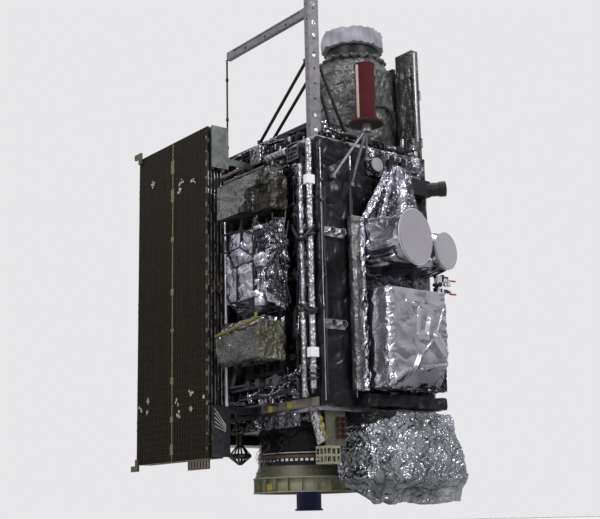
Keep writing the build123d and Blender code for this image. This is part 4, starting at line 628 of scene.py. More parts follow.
class SATELLITE_OT_finishes(bpy.types.Operator):
    """Makes every finish: crushed films, paints, cloths, cells and tapes"""

    bl_idname = "satellite.finishes"
    bl_label = "Finishes"

    def execute(self, context):
        colours = context.scene.satellite_colours
        self.films(tuple(colours.silver), tuple(colours.black), tuple(colours.grey))
        self.paints(colours)
        # name, colour, threads per metre, depth, sheen, specular
        for row in (
            ("blue cloth", (0.014, 0.017, 0.090), 160.0, 0.002, 0.3, 0.5),
            ("red cloth", tuple(colours.red), 180.0, 0.002, 0.0, 0.2),
            ("white cloth", tuple(colours.bonnet), 220.0, 0.0015, 0.3, 0.5),
        ):
            cloth_finish(*row)
        self.cells(tuple(colours.cell))
        self.radiator()
        return {"FINISHED"}

    def films(self, silver, black, grey):
        """Films and blankets."""
        # name, colour, metallic, roughness, size and tilt of each relief, dark and bright share,
        # size of the patches, specular, glitter
        for row in (
            ("silver film", silver, 1.0, 0.24, ((0.60, 0.04), (0.20, 0.02)), 0.92, 1.06, 0.3),
            # bright film and pale film are lighter copies of the silver film; some pieces wear them as
            # painted highlight and painted reflection
            ("bright film", shade(silver, 1.7), 1.0, 0.20, ((0.10, 0.5), (0.04, 0.30)), 0.7, 1.1, 0.06),
            ("black film", black, 0.0, 0.28, ((0.55, 0.14), (0.22, 0.07)), 0.7, 1.5, 0.3, 0.15),
            ("brown film", (0.022, 0.020, 0.017), 0.35, 0.34, ((0.24, 0.18), (0.08, 0.14)), 0.5, 1.6, 0.1,
             0.35),
            ("pale film", shade(silver, 1.5), 1.0, 0.26, ((0.45, 0.06), (0.14, 0.05)), 0.85, 1.1, 0.2),
            ("lavender film", (0.38, 0.36, 0.42), 1.0, 0.24, ((0.22, 0.16), (0.07, 0.12)), 0.6, 1.3, 0.12),
            ("tube film", (0.31, 0.30, 0.325), 0.95, 0.32, ((0.12, 0.14), (0.05, 0.12)), 0.8, 1.1, 0.08),
            ("dark film", (0.10, 0.097, 0.115), 0.95, 0.22, ((0.25, 0.20), (0.08, 0.18)), 0.45, 1.5, 0.12),
            ("worn film", (0.120, 0.117, 0.122), 0.8, 0.34, ((0.30, 0.10), (0.05, 0.12)), 0.6, 1.4, 0.05),
            ("grey film", (0.22, 0.215, 0.245), 1.0, 0.24, ((0.35, 0.10), (0.14, 0.07)), 0.6, 1.2, 0.2),
            ("sack film", (0.325, 0.338, 0.362), 1.0, 0.18, ((0.14, 0.24), (0.05, 0.20)), 0.5, 1.25, 0.06),
            ("grey blanket", grey, 0.45, 0.36, ((0.22, 0.14), (0.06, 0.14)), 0.6, 1.3, 0.12, 0.35),
            ("olive blanket", (0.095, 0.092, 0.072), 0.5, 0.40, ((0.12, 0.2), (0.04, 0.2)), 0.7, 1.2, 0.05),
            ("sparkling blanket", shade(grey, 1.5), 0.8, 0.27, ((0.05, 0.16), (0.014, 0.34)), 0.7, 1.25, 0.02,
             0.5, True),
            # A lighter copy of the sparkling blanket for the upper box: painted light against the shade under
            # the deck
            ("upper blanket", (0.185, 0.185, 0.182), 0.8, 0.27, ((0.05, 0.10), (0.014, 0.26)), 0.7, 1.25,
             0.02, 0.5, True),
        ):
            film_finish(*row)

    def paints(self, colours):
        """Paints, bare metals, plastics and tapes."""
        olive = tuple(colours.olive)
        # name, colour, roughness, metallic, wear, scale of the clouds, specular
        for row in (
            ("carbon", (0.009, 0.009, 0.010), 0.42, 0.0, 0.35, 14.0, 0.2),
            ("black hose", (0.012, 0.012, 0.014), 0.40, 0.0, 0.25, 14.0, 0.35),
            ("mast paint", tuple(colours.mast), 0.40, 0.55, 0.30),
            ("bare metal", (0.42, 0.41, 0.42), 0.32, 0.9, 0.2),
            ("ring paint", shade(olive, 1.3), 0.5, 0.25, 0.25),
            ("cone paint", shade(olive, 0.45), 0.5, 0.25, 0.35, 20.0),
            ("dish paint", tuple(colours.dish), 0.5, 0.0, 0.14, 1.6),
            ("white plastic", (0.72, 0.72, 0.74), 0.45, 0.0, 0.04),
            ("grey-green plate", (0.10, 0.110, 0.106), 0.42, 0.5, 0.55, 9.0),
            ("worn metal", (0.20, 0.195, 0.205), 0.38, 0.8, 0.5, 30.0),
            ("red plastic", (0.30, 0.035, 0.025), 0.45, 0.0, 0.2),
            ("bronze", (0.055, 0.047, 0.034), 0.35, 0.7, 0.4),
            ("grey tube", (0.11, 0.108, 0.125), 0.34, 0.8, 0.5, 20.0),
            # The caps' red is darkened as painted shade from the deck above them
            ("cap red", (0.028, 0.004, 0.004), 0.55, 0.0, 0.3, 14.0, 0.2),
            ("worn dark", (0.040, 0.040, 0.046), 0.38, 0.7, 0.5, 20.0),
            ("white metal", (0.55, 0.55, 0.58), 0.3, 0.7, 0.1),
            ("amber tape", tuple(colours.tape), 0.35, 0.4, 0.5, 30.0),
            ("yellow tape", (0.24, 0.20, 0.025), 0.45, 0.0, 0.15),
            ("tan tape", (0.115, 0.098, 0.052), 0.5, 0.0, 0.55, 22.0),
            ("pale tape", (0.34, 0.31, 0.26), 0.6, 0.0, 0.15),
            ("copper band", (0.115, 0.062, 0.032), 0.4, 0.5, 0.5, 9.0),
            ("tan panel", (0.125, 0.110, 0.096), 0.5, 0.3, 0.25, 4.0),
            ("cell backing", (0.062, 0.046, 0.026), 0.5, 0.0, 0.3, 8.0),
        ):
            painted_finish(*row)

    def cells(self, cell):
        """Dark glassy cells with thin bars."""
        made = new_finish("solar cells", cell, roughness=0.35, specular=0.03)
        place = coordinates(made)
        bars = add_node(made, "ShaderNodeTexWave", {"Vector": place, "Scale": 28.0}, bands_direction="X")
        tone = ramp(made, bars.outputs["Fac"], ((0.60, cell), (0.95, (0.026, 0.021, 0.013))))
        hue = tones(made, place, 0.06, ((0.0, shade(cell, 0.7)), (0.5, cell), (0.8, shade(cell, 1.5))))
        to_shader(made, "Base Color", mixed(made, 0.3, tone, hue))
        grain(made, place, 40.0, 0.0006)

    def radiator(self):
        """Mirror tiles in a fine grid."""
        made = new_finish("radiator", (0.5, 0.5, 0.52), metallic=0.8, roughness=0.2)
        place = coordinates(made)
        turned = add_node(made, "ShaderNodeMapping", {"Vector": place, "Rotation": (pi / 2, 0, 0)})
        tiles = add_node(made, "ShaderNodeTexBrick", {
            "Vector": turned.outputs[0], "Scale": 1.0, "Brick Width": 0.08, "Row Height": 0.04,
            "Color1": (0.50, 0.50, 0.53, 1), "Color2": (0.42, 0.42, 0.45, 1),
            "Mortar": (0.12, 0.12, 0.12, 1), "Mortar Size": 0.0015})
        to_shader(made, "Base Color", tiles.outputs["Color"])
        grain(made, place, 12.0, 0.0008)


class SATELLITE_OT_construction(bpy.types.Operator):
    """Gives each construction part that stays in view its finish"""

    bl_idname = "satellite.construction"
    bl_label = "Construction finishes"

    WORN = {
        "ring paint": ("separation_ring", "apogee_engine", "connector_bracket", "basket_bracket"),
        "black film": ("thrust_cylinder", "face_a_panel", "face_b_panel", "belly_closeout", "face_d_panel"),
        "blue cloth": ("engine_cover",),
        "silver film": ("aft_deck", "top_deck", "root_post", "thruster_pods"),
        "radiator": ("face_c_panel",),
        "mast paint": ("mast", "mast_arm", "helix_tripod"),
        "grey-green plate": ("array_bracket", "array_yoke", "hold_down_posts"),
        "tube film": ("corner_tubes",),
        "white plastic": ("tube_blocks", "wing_probes"),
        "carbon": (
            "top_truss", "mast_struts", "mast_rod", "wing_frame", "telescope_baffle", "star_sensors",
            "instrument_rack"),
        "grey tube": ("face_a_ducts",),
        "bronze": ("bicone_antenna",),
        "bare metal": ("wing_brackets",),
        "red cloth": ("helix_antenna",),
        "grey blanket": ("imager",),
        "dish paint": ("large_dish_cover", "small_dish_cover", "face_b_sensor"),
        "cell backing": tuple(f"solar_panel_{number}" for number in range(1, PANELS + 1)),
    }
    CAP_REACH = 0.024
    CONE_LOW = 0.182

    def execute(self, context):
        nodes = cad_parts
        for finish, names in self.WORN.items():
            for name in names:
                obj = nodes[name]
                if obj.material_slots:
                    obj.material_slots[0].material = FINISHES[finish]
                else:
                    obj.data.materials.append(FINISHES[finish])
        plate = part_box("connector_bracket")[1].x - self.CAP_REACH
        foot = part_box("helix_antenna")[0].z + 0.006
        # node, finish of a part of it, where that part is
        for node, finish, chosen in (
            ("array_bracket", "worn dark", lambda x, y, z: z < DECK_TOP / 2),
            ("array_yoke", "worn dark", lambda x, y, z: z < DECK_TOP * 0.9),
            ("connector_bracket", "cone paint", lambda x, y, z: x <= plate),
            # The caps get the darkened red, painted shade from the deck
            ("connector_bracket", "cap red", lambda x, y, z: x > plate),
            ("separation_ring", "cone paint", lambda x, y, z: z > self.CONE_LOW),
            ("top_deck", "black film", lambda x, y, z: z > DECK_TOP - 0.002),
            ("helix_antenna", "bronze", lambda x, y, z: z < foot),
        ):
            paint_part(nodes[node], finish, chosen)
        return {"FINISHED"}


class SATELLITE_OT_cells(bpy.types.Operator):
    """Lays rows of solar cells on every panel of the stack"""

    bl_idname = "satellite.cells"
    bl_label = "Solar cells"

    def execute(self, context):
        pitch_x = (STACK_RIGHT - STACK_LEFT) / CELL_COLUMNS
        pitch_z = (STACK_HIGH - STACK_LOW) / CELL_ROWS
        for number in range(1, PANELS + 1):
            front = STACK_FRONT + (PANELS - number) * STACK_PITCH
            outward = number % 2 == 1
            face = (front - CELL_T, front) if outward else (front + PANEL_T, front + PANEL_T + CELL_T)
            cell = slab(
                (STACK_LEFT + CELL_GAP / 2, face[0], STACK_LOW + CELL_EDGE),
                (STACK_LEFT + pitch_x - CELL_GAP / 2, face[1], STACK_LOW + pitch_z - CELL_EDGE))
            for count, step in ((CELL_COLUMNS, (pitch_x, 0, 0)), (CELL_ROWS, (0, 0, pitch_z))):
                modify(cell, "ARRAY", count=count, use_relative_offset=False, use_constant_offset=True,
                       constant_offset_displace=step)
            finish_piece(cell, f"cells_{number}", "solar cells", f"panel_{number}")
        return {"FINISHED"}


class SATELLITE_OT_instruments(bpy.types.Operator):
    """Wraps the instruments beside the array in blankets"""

    bl_idname = "satellite.instruments"
    bl_label = "Instrument blankets"

    # Seams of the faceted cover, x and z of their bends
    SEAMS = (
        ((0.22, 2.77), (0.34, 2.759), (0.603, 2.771), (0.637, 2.965), (0.342, 2.986), (0.22, 2.97)),
        ((0.637, 2.965), (0.639, 3.09)),
        ((0.603, 2.771), (0.80, 2.65), (0.915, 2.572), (0.465, 2.553), (0.34, 2.759)),
        ((0.637, 2.965), (0.90, 2.86), (1.06, 2.70)), ((0.915, 2.572), (1.06, 2.60)),
        ((0.86, 2.56), (0.868, 2.04)), ((0.539, 2.55), (0.532, 2.04)),
    )

    def execute(self, context):
        folds = context.scene.satellite_folds
        voxel = folds.voxel
        low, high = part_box("upper_instrument")
        split = low.x + 0.45 * (high.x - low.x)
        # The upper box wears the lighter copy of the sparkling blanket: painted light
        upper = cover(
            "upper_instrument", "upper_blanket", "upper blanket", voxel, folds.blanket * 0.8, 0.16, 3)
        paint_part(upper, "brown film", lambda x, y, z: (x > high.x - 0.03) | (z < low.z + 0.01) | (
            z < low.z + 0.75 * (x - split) + 0.02 * np.sin(x * 50)))
        self.faceted_cover(folds)
        lower = cover("lower_instrument", "lower_blanket", "sparkling blanket", voxel, folds.film, 0.18, 8)
        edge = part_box("lower_instrument")[1]
        paint_part(lower, "silver film", lambda x, y, z: z > edge.z - 0.075 + 0.11 * (x - edge.x))
        paint_part(lower, "olive blanket", lambda x, y, z: (x > edge.x - 0.03) & (z < edge.z - 0.05))
        return {"FINISHED"}

    def faceted_cover(self, folds):
        """The silver cover between the boxes: its patches, their seams and what is clipped to it."""
        low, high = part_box("foil_instrument")
        front, side = low.y, high.x
        film = cover("foil_instrument", "faceted_film", "lavender film", folds.voxel, folds.film, 0.26, 5)
        paint_part(film, "grey film", lambda x, y, z: x > side - 0.03)
        # The lower panel between the middle seams is painted lighter: painted highlight
        paint_part(film, "pale film", lambda x, y, z: (x > 0.55) & (x < 0.86 - 0.2 * (z - 2.3)) & (z < 2.56))
        paint_part(film, "dark film", lambda x, y, z: (x > side - 0.2) & (
            (np.sin(y * 21 + z * 5) * np.sin(z * 13) > 0.35) | (z > 2.90 - 0.2 * (side - x))))
        seams = [line_of([(x, front - 0.004, z) for x, z in corners], 0.011, bends=False)
                 for corners in self.SEAMS]
        finish_piece(joined(seams), "cover_seams", "carbon")
        lay_hoses("cover_hoses", "black hose", (
            (0.86, front - 0.05, low.z + 0.1), (side, front + 0.02, high.z), 2, 6, 0.010, 64))
        rim = (side, front + 0.03, high.z)
        lay_blocks(
            ("cover_blocks", "carbon", (0.88, front - 0.04, low.z + 0.2), rim, 11, 0.055, 65),
            ("cover_bits", "pale film", (0.88, front - 0.035, low.z), rim, 8, 0.075, 66))
        lay_hoses("cover_side_hoses", "black hose", (
            (side, front + 0.03, low.z - 0.05), (side + 0.05, high.y, high.z + 0.05), 2, 8, 0.009, 67))
        back = (side - 0.01, front + 0.05, low.z)
        lay_blocks(
            ("cover_side_blocks", "worn dark", back, (side + 0.035, high.y, high.z), 30, 0.040, 68),
            ("cover_side_bits", "white metal", back, (side + 0.045, high.y, high.z), 12, 0.025, 69))


class SATELLITE_OT_body_blankets(bpy.types.Operator):
    """Covers the bus box with crushed film"""

    bl_idname = "satellite.body_blankets"
    bl_label = "Body blankets"

    # What the films leave bare at both sides and at both ends, and how far their middle is lowered
    SIDES_BARE = 0.04
    ENDS_BARE = 0.06
    LOWERED = 0.02
    STEP = 0.022
    SPARE = 1.01

    def execute(self, context):
        folds = context.scene.satellite_folds
        mid_z = (AFT_TOP + DECK_TOP) / 2 - self.LOWERED
        high = DECK_TOP - AFT_TOP - self.ENDS_BARE
        wide = FACE_B_X * 2 - self.SIDES_BARE
        deep = -FACE_A_Y * 2 - self.SIDES_BARE
        # name, panel it lies on, centre, width, height, facing, fold seed
        for name, panel, centre, width, length, facing, seed in (
            ("face_a_film", "face_a_panel", (0, FACE_A_Y - FILM_GAP, mid_z), wide, high, "-y", 11),
            ("face_b_film", "face_b_panel", (FACE_B_X + FILM_GAP, 0, mid_z), deep, high, "+x", 12),
            ("deck_film", "top_deck", (0, 0, DECK_TOP + FILM_GAP), wide, deep, "+z", 14),
        ):
            film = sheet_grid(centre, width, length, facing, self.STEP)
            crumple(film, folds.blanket * 1.2, folds.width * 2, seed, keep=0.35, sizes=2)
            finish_sheet(film, name, "black film")
        cover("blanket_column", "column_blanket", "black film", 0.013, folds.blanket * 1.2, 0.32, 21,
              stretch=(1, 1, 2.2), sizes=2)
        return {"FINISHED"}


class SATELLITE_OT_wing_box(bpy.types.Operator):
    """Pulls silver film over the wing box: a crinkled left edge, a flat middle and V creases on the right"""

    bl_idname = "satellite.wing_box"
    bl_label = "Wing box film"

    # Creases on the front, y and z of their ends
    CREASES = (
        ((-0.01, 2.06), (0.16, 1.46)), ((0.16, 1.46), (0.42, 1.69)), ((0.42, 1.69), (0.57, 2.07)),
        ((0.18, 2.00), (0.14, 1.69)), ((0.14, 1.69), (0.28, 1.70)), ((0.28, 1.70), (0.33, 1.88)),
        ((0.10, 2.05), (0.42, 2.04)), ((0.42, 2.04), (0.56, 2.08)), ((-0.28, 1.14), (0.00, 1.26)),
        ((0.00, 1.26), (0.56, 1.37)), ((0.16, 1.46), (0.06, 1.27)), ((0.42, 1.69), (0.56, 1.52)),
    )
    SOFT_CREASES = (1, 2)
    CREASE_RISE = 0.026
    # The lower flap: where along y its height is given, its heights, and those of its dull paint
    FLAP_Y = (-0.08, 0.10, 0.60)
    FLAP_RISE = (0.05, 0.20, 0.26, 0.33)
    FLAP_PAINT = (0.02, 0.17, 0.24, 0.30)
    FLAP_SLOPE = 0.42

    def execute(self, context):
        folds = context.scene.satellite_folds
        (back, side, low), (front, _, _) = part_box("wing_box")
        film = skin_of("wing_box", folds.voxel * FINE)
        spots = mesh_spots(film)
        ahead = between(spots[:, 0], front - 0.05, front - 0.005)
        creased = np.zeros(len(spots))
        for number, (start, end) in enumerate(self.CREASES):
            width = 0.030 + 0.014 * (number % 3)
            share = 0.3 if number in self.SOFT_CREASES else 1.0
            creased = np.maximum(creased, share - off_line(spots, (1, 2), start, end) / width)
        press(film, ahead * self.CREASE_RISE * creased)

        def flap(y, rises):
            """Height of the lower flap's edge along the box."""
            return np.interp(y, (side, *self.FLAP_Y), [low + rise for rise in rises])

        spots = mesh_spots(film)
        below = np.clip(flap(spots[:, 1], self.FLAP_RISE) - spots[:, 2], 0, 1)
        spots[:, 0] -= ahead * self.FLAP_SLOPE * below
        place_spots(film, spots)
        crumple(film, folds.film * 1.2, 0.10, 31, keep=1, held=lambda x, y, z: (
            np.clip(1 - np.hypot(x - front, y - side - 0.02) / 0.09, 0, 1)
            + 0.7 * between(z, low + 0.10, low) + 0.5 * between(y, 0.50, 0.58)))
        crumple(film, folds.film * 0.7, 0.50, 36, stretch=(1, 0.7, 1.8), sizes=2, held=lambda x, y, z: (
            0.10 + 0.60 * between(y, 0.0, 0.25)))
        finish_piece(film, "wing_box_film", "silver film", "wing", replaces=["wing_box"])
        for finish, chosen in (
            # Pale film on the side near the front: painted reflection of the bright room
            ("pale film", lambda x, y, z: (y < side + 0.03) & (x > front - 0.26) & (x < front)),
            ("black film", lambda x, y, z: (y < side + 0.03) & (x < back + 0.10)),
            ("bright film", lambda x, y, z: (y < side + 0.03) & (np.abs(x - back - 0.02) < 0.012)),
            ("grey film", lambda x, y, z: (x > front - 0.2) & (z < flap(y, self.FLAP_PAINT))),
        ):
            paint_part(film, finish, chosen)
        return {"FINISHED"}


class SATELLITE_OT_wing(bpy.types.Operator):
    """Wraps the rest of the wing: beam, shrouds, upper frame and hanging blanket"""

    bl_idname = "satellite.wing"
    bl_label = "Wing blankets"

    # Left and right edges of the film that rises to the hinges, y at its foot and its change up to its top
    STRIP_LEFT = (-0.36, 0.38)
    STRIP_RIGHT = (-0.02, 0.14)
    # Width and length of that film before it is tapered
    STRIP_SIZE = (0.30, 0.62)
    # Height of the shrouds' folds, and depth of the groove behind the covers' rims
    SHROUD_FOLD = 0.030
    RIM_GROOVE = 0.012

    def execute(self, context):
        folds = context.scene.satellite_folds
        for size, folds_round in (("large", 19), ("small", 15)):
            self.shroud(size, folds_round, folds)
            self.rim(size)
        # The bright film kept on the beam's right part is a painted highlight; its left part gets the worn
        # film
        beam = cover("wing_edge_beam", "edge_beam_film", "bright film", folds.voxel * 0.9,
                     folds.blanket * 0.7, 0.14, 32, "wing", keep=0.5, stretch=(1, 1, 1.8))
        low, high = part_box("wing_edge_beam")
        split = low.y + 0.56 * (high.y - low.y)
        paint_part(beam, "worn film", lambda x, y, z: y < split + 0.01 * np.sin(z * 9))
        low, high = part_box("wing_probes")
        lay_blocks(
            ("probe_blocks", "carbon", low - Vector((0.01, 0.04, 0.0)), high + Vector((0.01, 0, 0.02)),
             16, 0.045, 45),
            ("probe_bits", "white metal", low - Vector((0.02, 0, 0)), high + Vector((0.02, 0.01, 0.02)),
             9, 0.040, 46),
            body="wing")
        tip_x = high.x - 0.03
        tips = [rod((tip_x, high.y, level), (tip_x, high.y + 0.10, level + 0.004), 0.011, 10)
                for level in (low.z + 0.01, high.z - 0.04)]
        finish_piece(joined(tips), "probe_tips", "red plastic", "wing")
        veil = cover("wing_blanket", "wing_veil", "dark film", folds.voxel * FINE, folds.film * 1.2, 0.13, 35,
                     "wing", keep=0.5, stretch=(1, 1, 3.5))
        paint_part(veil, "lavender film", lambda x, y, z: (
            (np.abs(y - (0.14 - 0.32 * (3.80 - z))) < 0.05) | (np.abs(y - 0.26) < 0.085)))
        self.upper_film(folds)
        return {"FINISHED"}

    def shroud(self, size, folds_round, folds):
        """Film drawn from a round cover to the frame: long folds run from the rim and meet at the beam."""
        node = f"{size}_dish_shroud"
        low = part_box(node)[0]
        cover_low, cover_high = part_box(f"{size}_dish_cover")
        beam_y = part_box("wing_edge_beam")[1].y
        film = skin_of(node, folds.voxel * 0.9)
        spots = mesh_spots(film)
        rim = np.array((cover_low + cover_high) / 2)
        along = (spots[:, 0] - low.x) / (rim[0] - low.x)
        gap = max(0.0, low.y - beam_y - 0.008)
        near = between(spots[:, 1], rim[1] + 0.05, low.y + 0.05)
        spots[:, 1] -= gap * near * between(along, 0.9, 0.0)
        place_spots(film, spots)
        fan = np.arctan2(spots[:, 2] - (rim[2] - 0.19), spots[:, 1] - beam_y + 0.12)
        turn = np.arctan2(spots[:, 2] - rim[2], spots[:, 1] - rim[1])
        left = between(spots[:, 1], rim[1], rim[1] - 0.15)
        rise = np.zeros(len(spots))
        # number of folds, their share of the height, their start
        for count, weight, drift in (
            (folds_round, 0.5, 0.7), (folds_round * 2 + 1, 0.25, 2.1), (7, 0.45, 0.3),
        ):
            radial = count * (turn + 0.08 * np.sin(2 * turn + 4 * along)) / (2 * pi) + drift
            fanned = 0.45 * count * fan / pi + drift
            rise += weight * ((1 - left) * zigzag(radial) + left * zigzag(fanned))
        away = between(along, 1.0, 0.6)
        press(film, rise * self.SHROUD_FOLD * away - self.RIM_GROOVE * between(along, 0.88, 0.99))
        crumple(film, folds.film * 0.35, 0.30, 33, keep=0.45, stretch=(2.2, 1, 1), sizes=2,
                held=lambda x, y, z: between((x - low.x) / (rim[0] - low.x), 0.95, 0.7))
        finish_piece(film, f"{size}_shroud_film", "grey film", "wing", replaces=[node])
        # Its upper left is painted lighter, as painted reflection where the folds face away from the bright
        # room
        paint_part(film, "pale film", lambda x, y, z: (z > rim[2] - 0.12) & (y < rim[1] - 0.10))

    def rim(self, size):
        """A thin bright edge around a dish cover."""
        node = f"{size}_dish_cover"
        edge = new_object("edge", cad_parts[node].data.copy())
        low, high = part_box(node)
        middle = np.array((low + high) / 2)
        place_spots(edge, middle + (mesh_spots(edge) - middle) * 1.04 - np.array((0.012, 0, 0)))
        finish_piece(edge, f"{size}_dish_rim", "white metal", "wing")

    def strip_film(self, folds, face, base):
        """Crushed silver along the left edge of the film that rises from the beam to the hinges."""
        width, length = self.STRIP_SIZE
        film = sheet_grid((face, 0, base + length / 2), width, length, "+x", 0.009)
        spots = mesh_spots(film)
        share = (spots[:, 2] - base) / length
        left, right = (foot + change * share for foot, change in (self.STRIP_LEFT, self.STRIP_RIGHT))
        spots[:, 1] = left + (right - left) * (spots[:, 1] / width + 0.5)
        place_spots(film, spots)
        crumple(film, folds.film * 1.2, 0.13, 39, keep=0.6, stretch=(1, 1, 2.5))
        finish_sheet(film, "strip_film", "dark film", "wing")
        foot, change = self.STRIP_LEFT
        paint_part(film, "bright film", lambda x, y, z: y < foot + change * (z - base) / length + 0.10)

    def upper_film(self, folds):
        """Black film over the frame behind the dish covers."""
        low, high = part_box("wing_frame")
        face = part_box("wing_box")[0].x
        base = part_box("wing_box")[1].z
        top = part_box("wing_edge_beam")[1].z
        width, length = high.y - low.y + 0.01, top - base + 0.02
        self.strip_film(folds, face + 0.022, top)
        film = sheet_grid((face + 0.016, (low.y + high.y) / 2, (base + top) / 2), width, length, "+x", 0.012)
        crumple(film, folds.film * 0.8, 0.16, 38, keep=0.5, stretch=(1, 2.0, 1))
        finish_sheet(film, "frame_film", "dark film", "wing")


class SATELLITE_OT_lower_pod(bpy.types.Operator):
    """Wraps the lower housing, the sack and the pouch"""

    bl_idname = "satellite.lower_pod"
    bl_label = "Sack and housing"

    SIM_FRAMES = 12
    SACK_VOXEL = 0.021
    # The hem: its height, its place from back to front, and how far the film is drawn to it
    HEM_HEIGHT = 0.26
    HEM_PLACE = 0.72
    HEM_PULL = 0.72

    def execute(self, context):
        folds = context.scene.satellite_folds
        self.sack(folds)
        cover("lower_housing", "housing_film", "black film", 0.012, folds.film, 0.25, 42, stretch=(1, 2, 1))
        pouch = cover("foil_pouch", "pouch_film", "pale film", SMALL_VOXEL, folds.blanket * 0.5, 0.08, 43,
                      keep=0.5)
        low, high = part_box("foil_pouch")
        paint_part(pouch, "amber tape", lambda x, y, z: (x < low.x + 0.35 * (high.z - z) + 0.020) | (
            x > low.x + 0.170 + 0.345 * (high.z - z) - 0.016))
        return {"FINISHED"}

    def sack(self, folds):
        """A bag of thin film that buckles by itself, pinched to a hem below."""
        low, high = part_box("wrapped_sack")
        sack = skin_of("wrapped_sack", self.SACK_VOXEL)
        spots = mesh_spots(sack)
        hem = between(spots[:, 2], low.z + self.HEM_HEIGHT, low.z)
        middle = low.x + self.HEM_PLACE * (high.x - low.x)
        spots[:, 0] += (middle - spots[:, 0]) * self.HEM_PULL * hem
        spots[:, 1] += (spots[:, 1] - 0.5) * 0.08 * hem
        place_spots(sack, spots)
        # Long folds hang from the upper left corner
        fan = np.arctan2(spots[:, 2] - 1.0, spots[:, 1] + 0.55)
        hung = between(spots[:, 2], high.z, high.z - 0.15)
        press(sack, 0.020 * zigzag(fan * 4.2 + 0.5 * np.sin(fan * 5)) * hung)
        settle_film(sack, 0.14, folds.sack * 1.1, self.SIM_FRAMES, 41)
        modify(sack, "SUBSURF", levels=1, render_levels=1)
        crumple(sack, folds.sack * 0.42, 0.085, 44, keep=0.7, held=lambda x, y, z: (
            0.35 + 0.65 * between(z, 0.02, 0.22)))
        spots = mesh_spots(sack)
        spots[:, 2] = np.minimum(spots[:, 2], high.z - 0.002)
        place_spots(sack, spots)
        finish_piece(sack, "sack_film", "sack film", replaces=["wrapped_sack"], smooth=24)
        paint_part(sack, "black film", lambda x, y, z: (y > -0.85) & (y < 0.35) & (
            z > 0.715 + 0.30 * np.abs(y + 0.30) + 0.02 * np.sin(y * 23)))


class SATELLITE_OT_telescope(bpy.types.Operator):
    """Wraps the telescope and ties its cloth bonnet on"""

    bl_idname = "satellite.telescope"
    bl_label = "Telescope blankets"

    # The bonnet's share of the solid's width and height
    BONNET_WIDTH = 1.05
    BONNET_HEIGHT = 0.72

    def execute(self, context):
        folds = context.scene.satellite_folds
        cover("telescope_body", "telescope_film", "grey blanket", 0.014, folds.film, 0.3, 51,
              stretch=(1, 1, 0.8))
        self.bonnet()
        for node, seed in (("edge_box", 53), ("edge_tank", 54)):
            cover(node, f"{node}_film", "silver film", SMALL_VOXEL, folds.blanket * 0.6, 0.08, seed)
        return {"FINISHED"}

    def bonnet(self):
        """A gathered cap: full at the crown, drawn in at its hem."""
        low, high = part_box("telescope_bonnet")
        middle = (low + high) / 2
        radius = (high.x - low.x) / 2 * self.BONNET_WIDTH
        tall = (high.z - low.z) * self.BONNET_HEIGHT
        bpy.ops.mesh.primitive_uv_sphere_add(segments=180, ring_count=90, radius=1, location=(0, 0, 0))
        cap = settle()
        spots = mesh_spots(cap)
        across = np.hypot(spots[:, 0], spots[:, 1])
        turn = np.arctan2(spots[:, 1], spots[:, 0])
        level = spots[:, 2]
        # The lower part of the ball folds under into the hem
        share = np.clip((level + 0.62) / 1.62, 0, 1)
        ruffle = 0.5 * np.sin(23 * turn + 2 * np.sin(3 * turn)) + 0.5 * np.sin(11 * turn + 1.3)
        full = radius * np.clip(across * 1.35, 0, 1) ** 0.75
        full *= 1 + 0.045 * ruffle * (1.1 - share) + 0.02 * np.sin(5 * turn + 4 * level)
        rise = low.z - 0.02 + tall * np.clip(share ** 0.9 + 0.05 * ruffle * across, 0, 1)
        spots = np.stack((middle.x + full * np.cos(turn), middle.y + full * np.sin(turn), rise), axis=1)
        place_spots(cap, spots)
        finish_piece(cap, "bonnet_cloth", "white cloth", replaces=["telescope_bonnet"], smooth=60)


